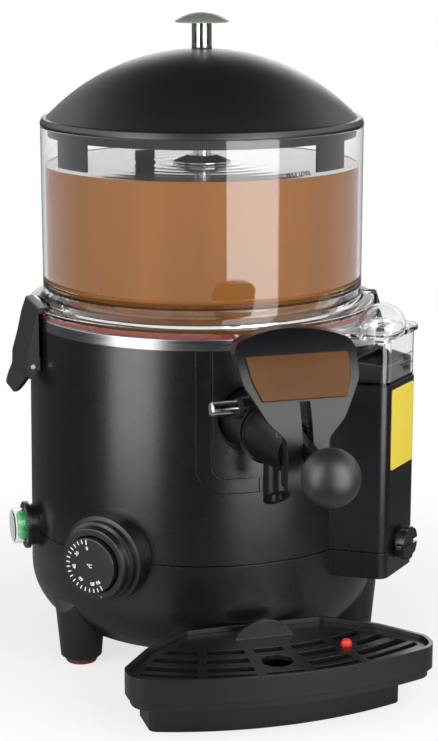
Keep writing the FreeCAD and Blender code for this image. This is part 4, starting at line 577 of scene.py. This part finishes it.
def camera():
    data = bpy.data.cameras.new("camera")
    data.lens = CAMERA_LENS
    data.sensor_width = CAMERA_SENSOR
    item = add_object("camera", data)
    item.location = UP * CAMERA_HEIGHT - VIEW_AWAY * CAMERA_DISTANCE
    level = VIEW_AWAY * math.cos(CAMERA_PAN) + VIEW_ACROSS * math.sin(CAMERA_PAN)
    aim(item, level * math.cos(CAMERA_TILT) - UP * math.sin(CAMERA_TILT))
    bpy.context.scene.camera = item


def floor():
    """Pale floor that keeps the shadow near the object and fades to white further out."""
    bm = bmesh.new()
    bmesh.ops.create_circle(bm, cap_ends=True, segments=FLOOR_SEGMENTS, radius=FLOOR_RADIUS)
    mesh = take_mesh("floor", bm)
    shader = Shader("floor")
    shader.set({"Base Color": FLOOR_GREY, "Roughness": 0.9, "Specular IOR Level": 0.1})
    reach = shader.add("VectorMath", {0: shader.place}, operation="LENGTH").outputs["Value"]
    white = shader.maths("MULTIPLY", shader.ramp(reach, *FLOOR_WHITE), shader.ray("Camera", "Transmission"))
    mirrored = shader.maths("MULTIPLY", shader.ramp(reach, *FLOOR_MIRRORED), shader.ray("Glossy"))
    dim = shader.glow(shader.ramp(shader.along(shader.place, VIEW_AWAY), *FLOOR_GLOSS))
    grey = shader.layer(mirrored, shader.surface.outputs["BSDF"], dim)
    shader.show(shader.layer(white, grey, shader.glow(1.0)))
    mesh.materials.append(shader.material)
    item = add_object("floor", mesh)


def world():
    """White where it is seen and plain light for the rest, but for gloss a room of its own."""
    item = bpy.data.worlds.new("world")
    bpy.context.scene.world = item
    item.use_nodes = True
    graph = Graph(item.node_tree)
    place = graph.add("TexCoord", {}).outputs["Generated"]

    def fade(direction, ends):
        return graph.ramp(graph.along(place, direction), *ends, course="SMOOTHSTEP")

    sides = graph.maths("MAXIMUM", fade(VIEW_ACROSS, SIDE_FADE), fade(-VIEW_ACROSS, SIDE_FADE))
    sides = graph.maths("MULTIPLY", sides, fade(UP, SIDE_RISE))
    back = graph.maths("MULTIPLY", fade(VIEW_AWAY, BACK_FADE), fade(UP, BACK_RISE))
    bright = graph.maths("MULTIPLY", graph.maths("MAXIMUM", sides, back), fade(UP, TOP_FADE))
    unseen = graph.mix(graph.ray("Glossy"), AMBIENT, graph.maths("ADD", bright, GLOSS_FRONT))
    strength = graph.mix(graph.ray("Camera", "Transmission"), unseen, 1.0)
    graph.fill(graph.nodes["Background"], {"Color": WHITE, "Strength": strength})


def softbox(name, azimuth, distance, bottom, width, radiance, target, spared=()):
    """Upright soft lamp, unseen by the camera, aimed at a height on the axis and kept off some nodes."""
    height = LAMP_TOP - bottom
    data = bpy.data.lights.new(name, "AREA")
    data.shape = "RECTANGLE"
    data.size = width
    data.size_y = height
    data.energy = radiance * math.pi * width * height
    item = add_object(name, data)
    item.location = outward(math.radians(azimuth)) * distance + UP * (bottom + LAMP_TOP) / 2
    aim(item, UP * target - item.location)
    item.visible_camera = False
    if spared:
        group = bpy.data.collections.new("kept off by " + name)
        for node_name in spared:
            group.objects.link(nodes[node_name])
        for entry in group.collection_objects:
            entry.light_linking.link_state = "EXCLUDE"
        item.light_linking.receiver_collection = group


camera()
floor()
world()
# a lamp is kept off the clear pieces in which its own reflection isn't wanted
softbox("right lamp", azimuth=17.0, distance=0.62, bottom=0.01, width=0.40, radiance=4.0, target=0.35)
softbox("left lamp", azimuth=-57.0, distance=0.62, bottom=0.01, width=0.34, radiance=3.8, target=0.35,
        spared=["bowl"])
softbox("back lamp", azimuth=160.0, distance=1.1, bottom=0.02, width=0.60, radiance=3.0, target=0.3,
        spared=["bowl", "water_cup", "cup_lid"])
bpy.context.scene.view_settings.view_transform = "Standard"
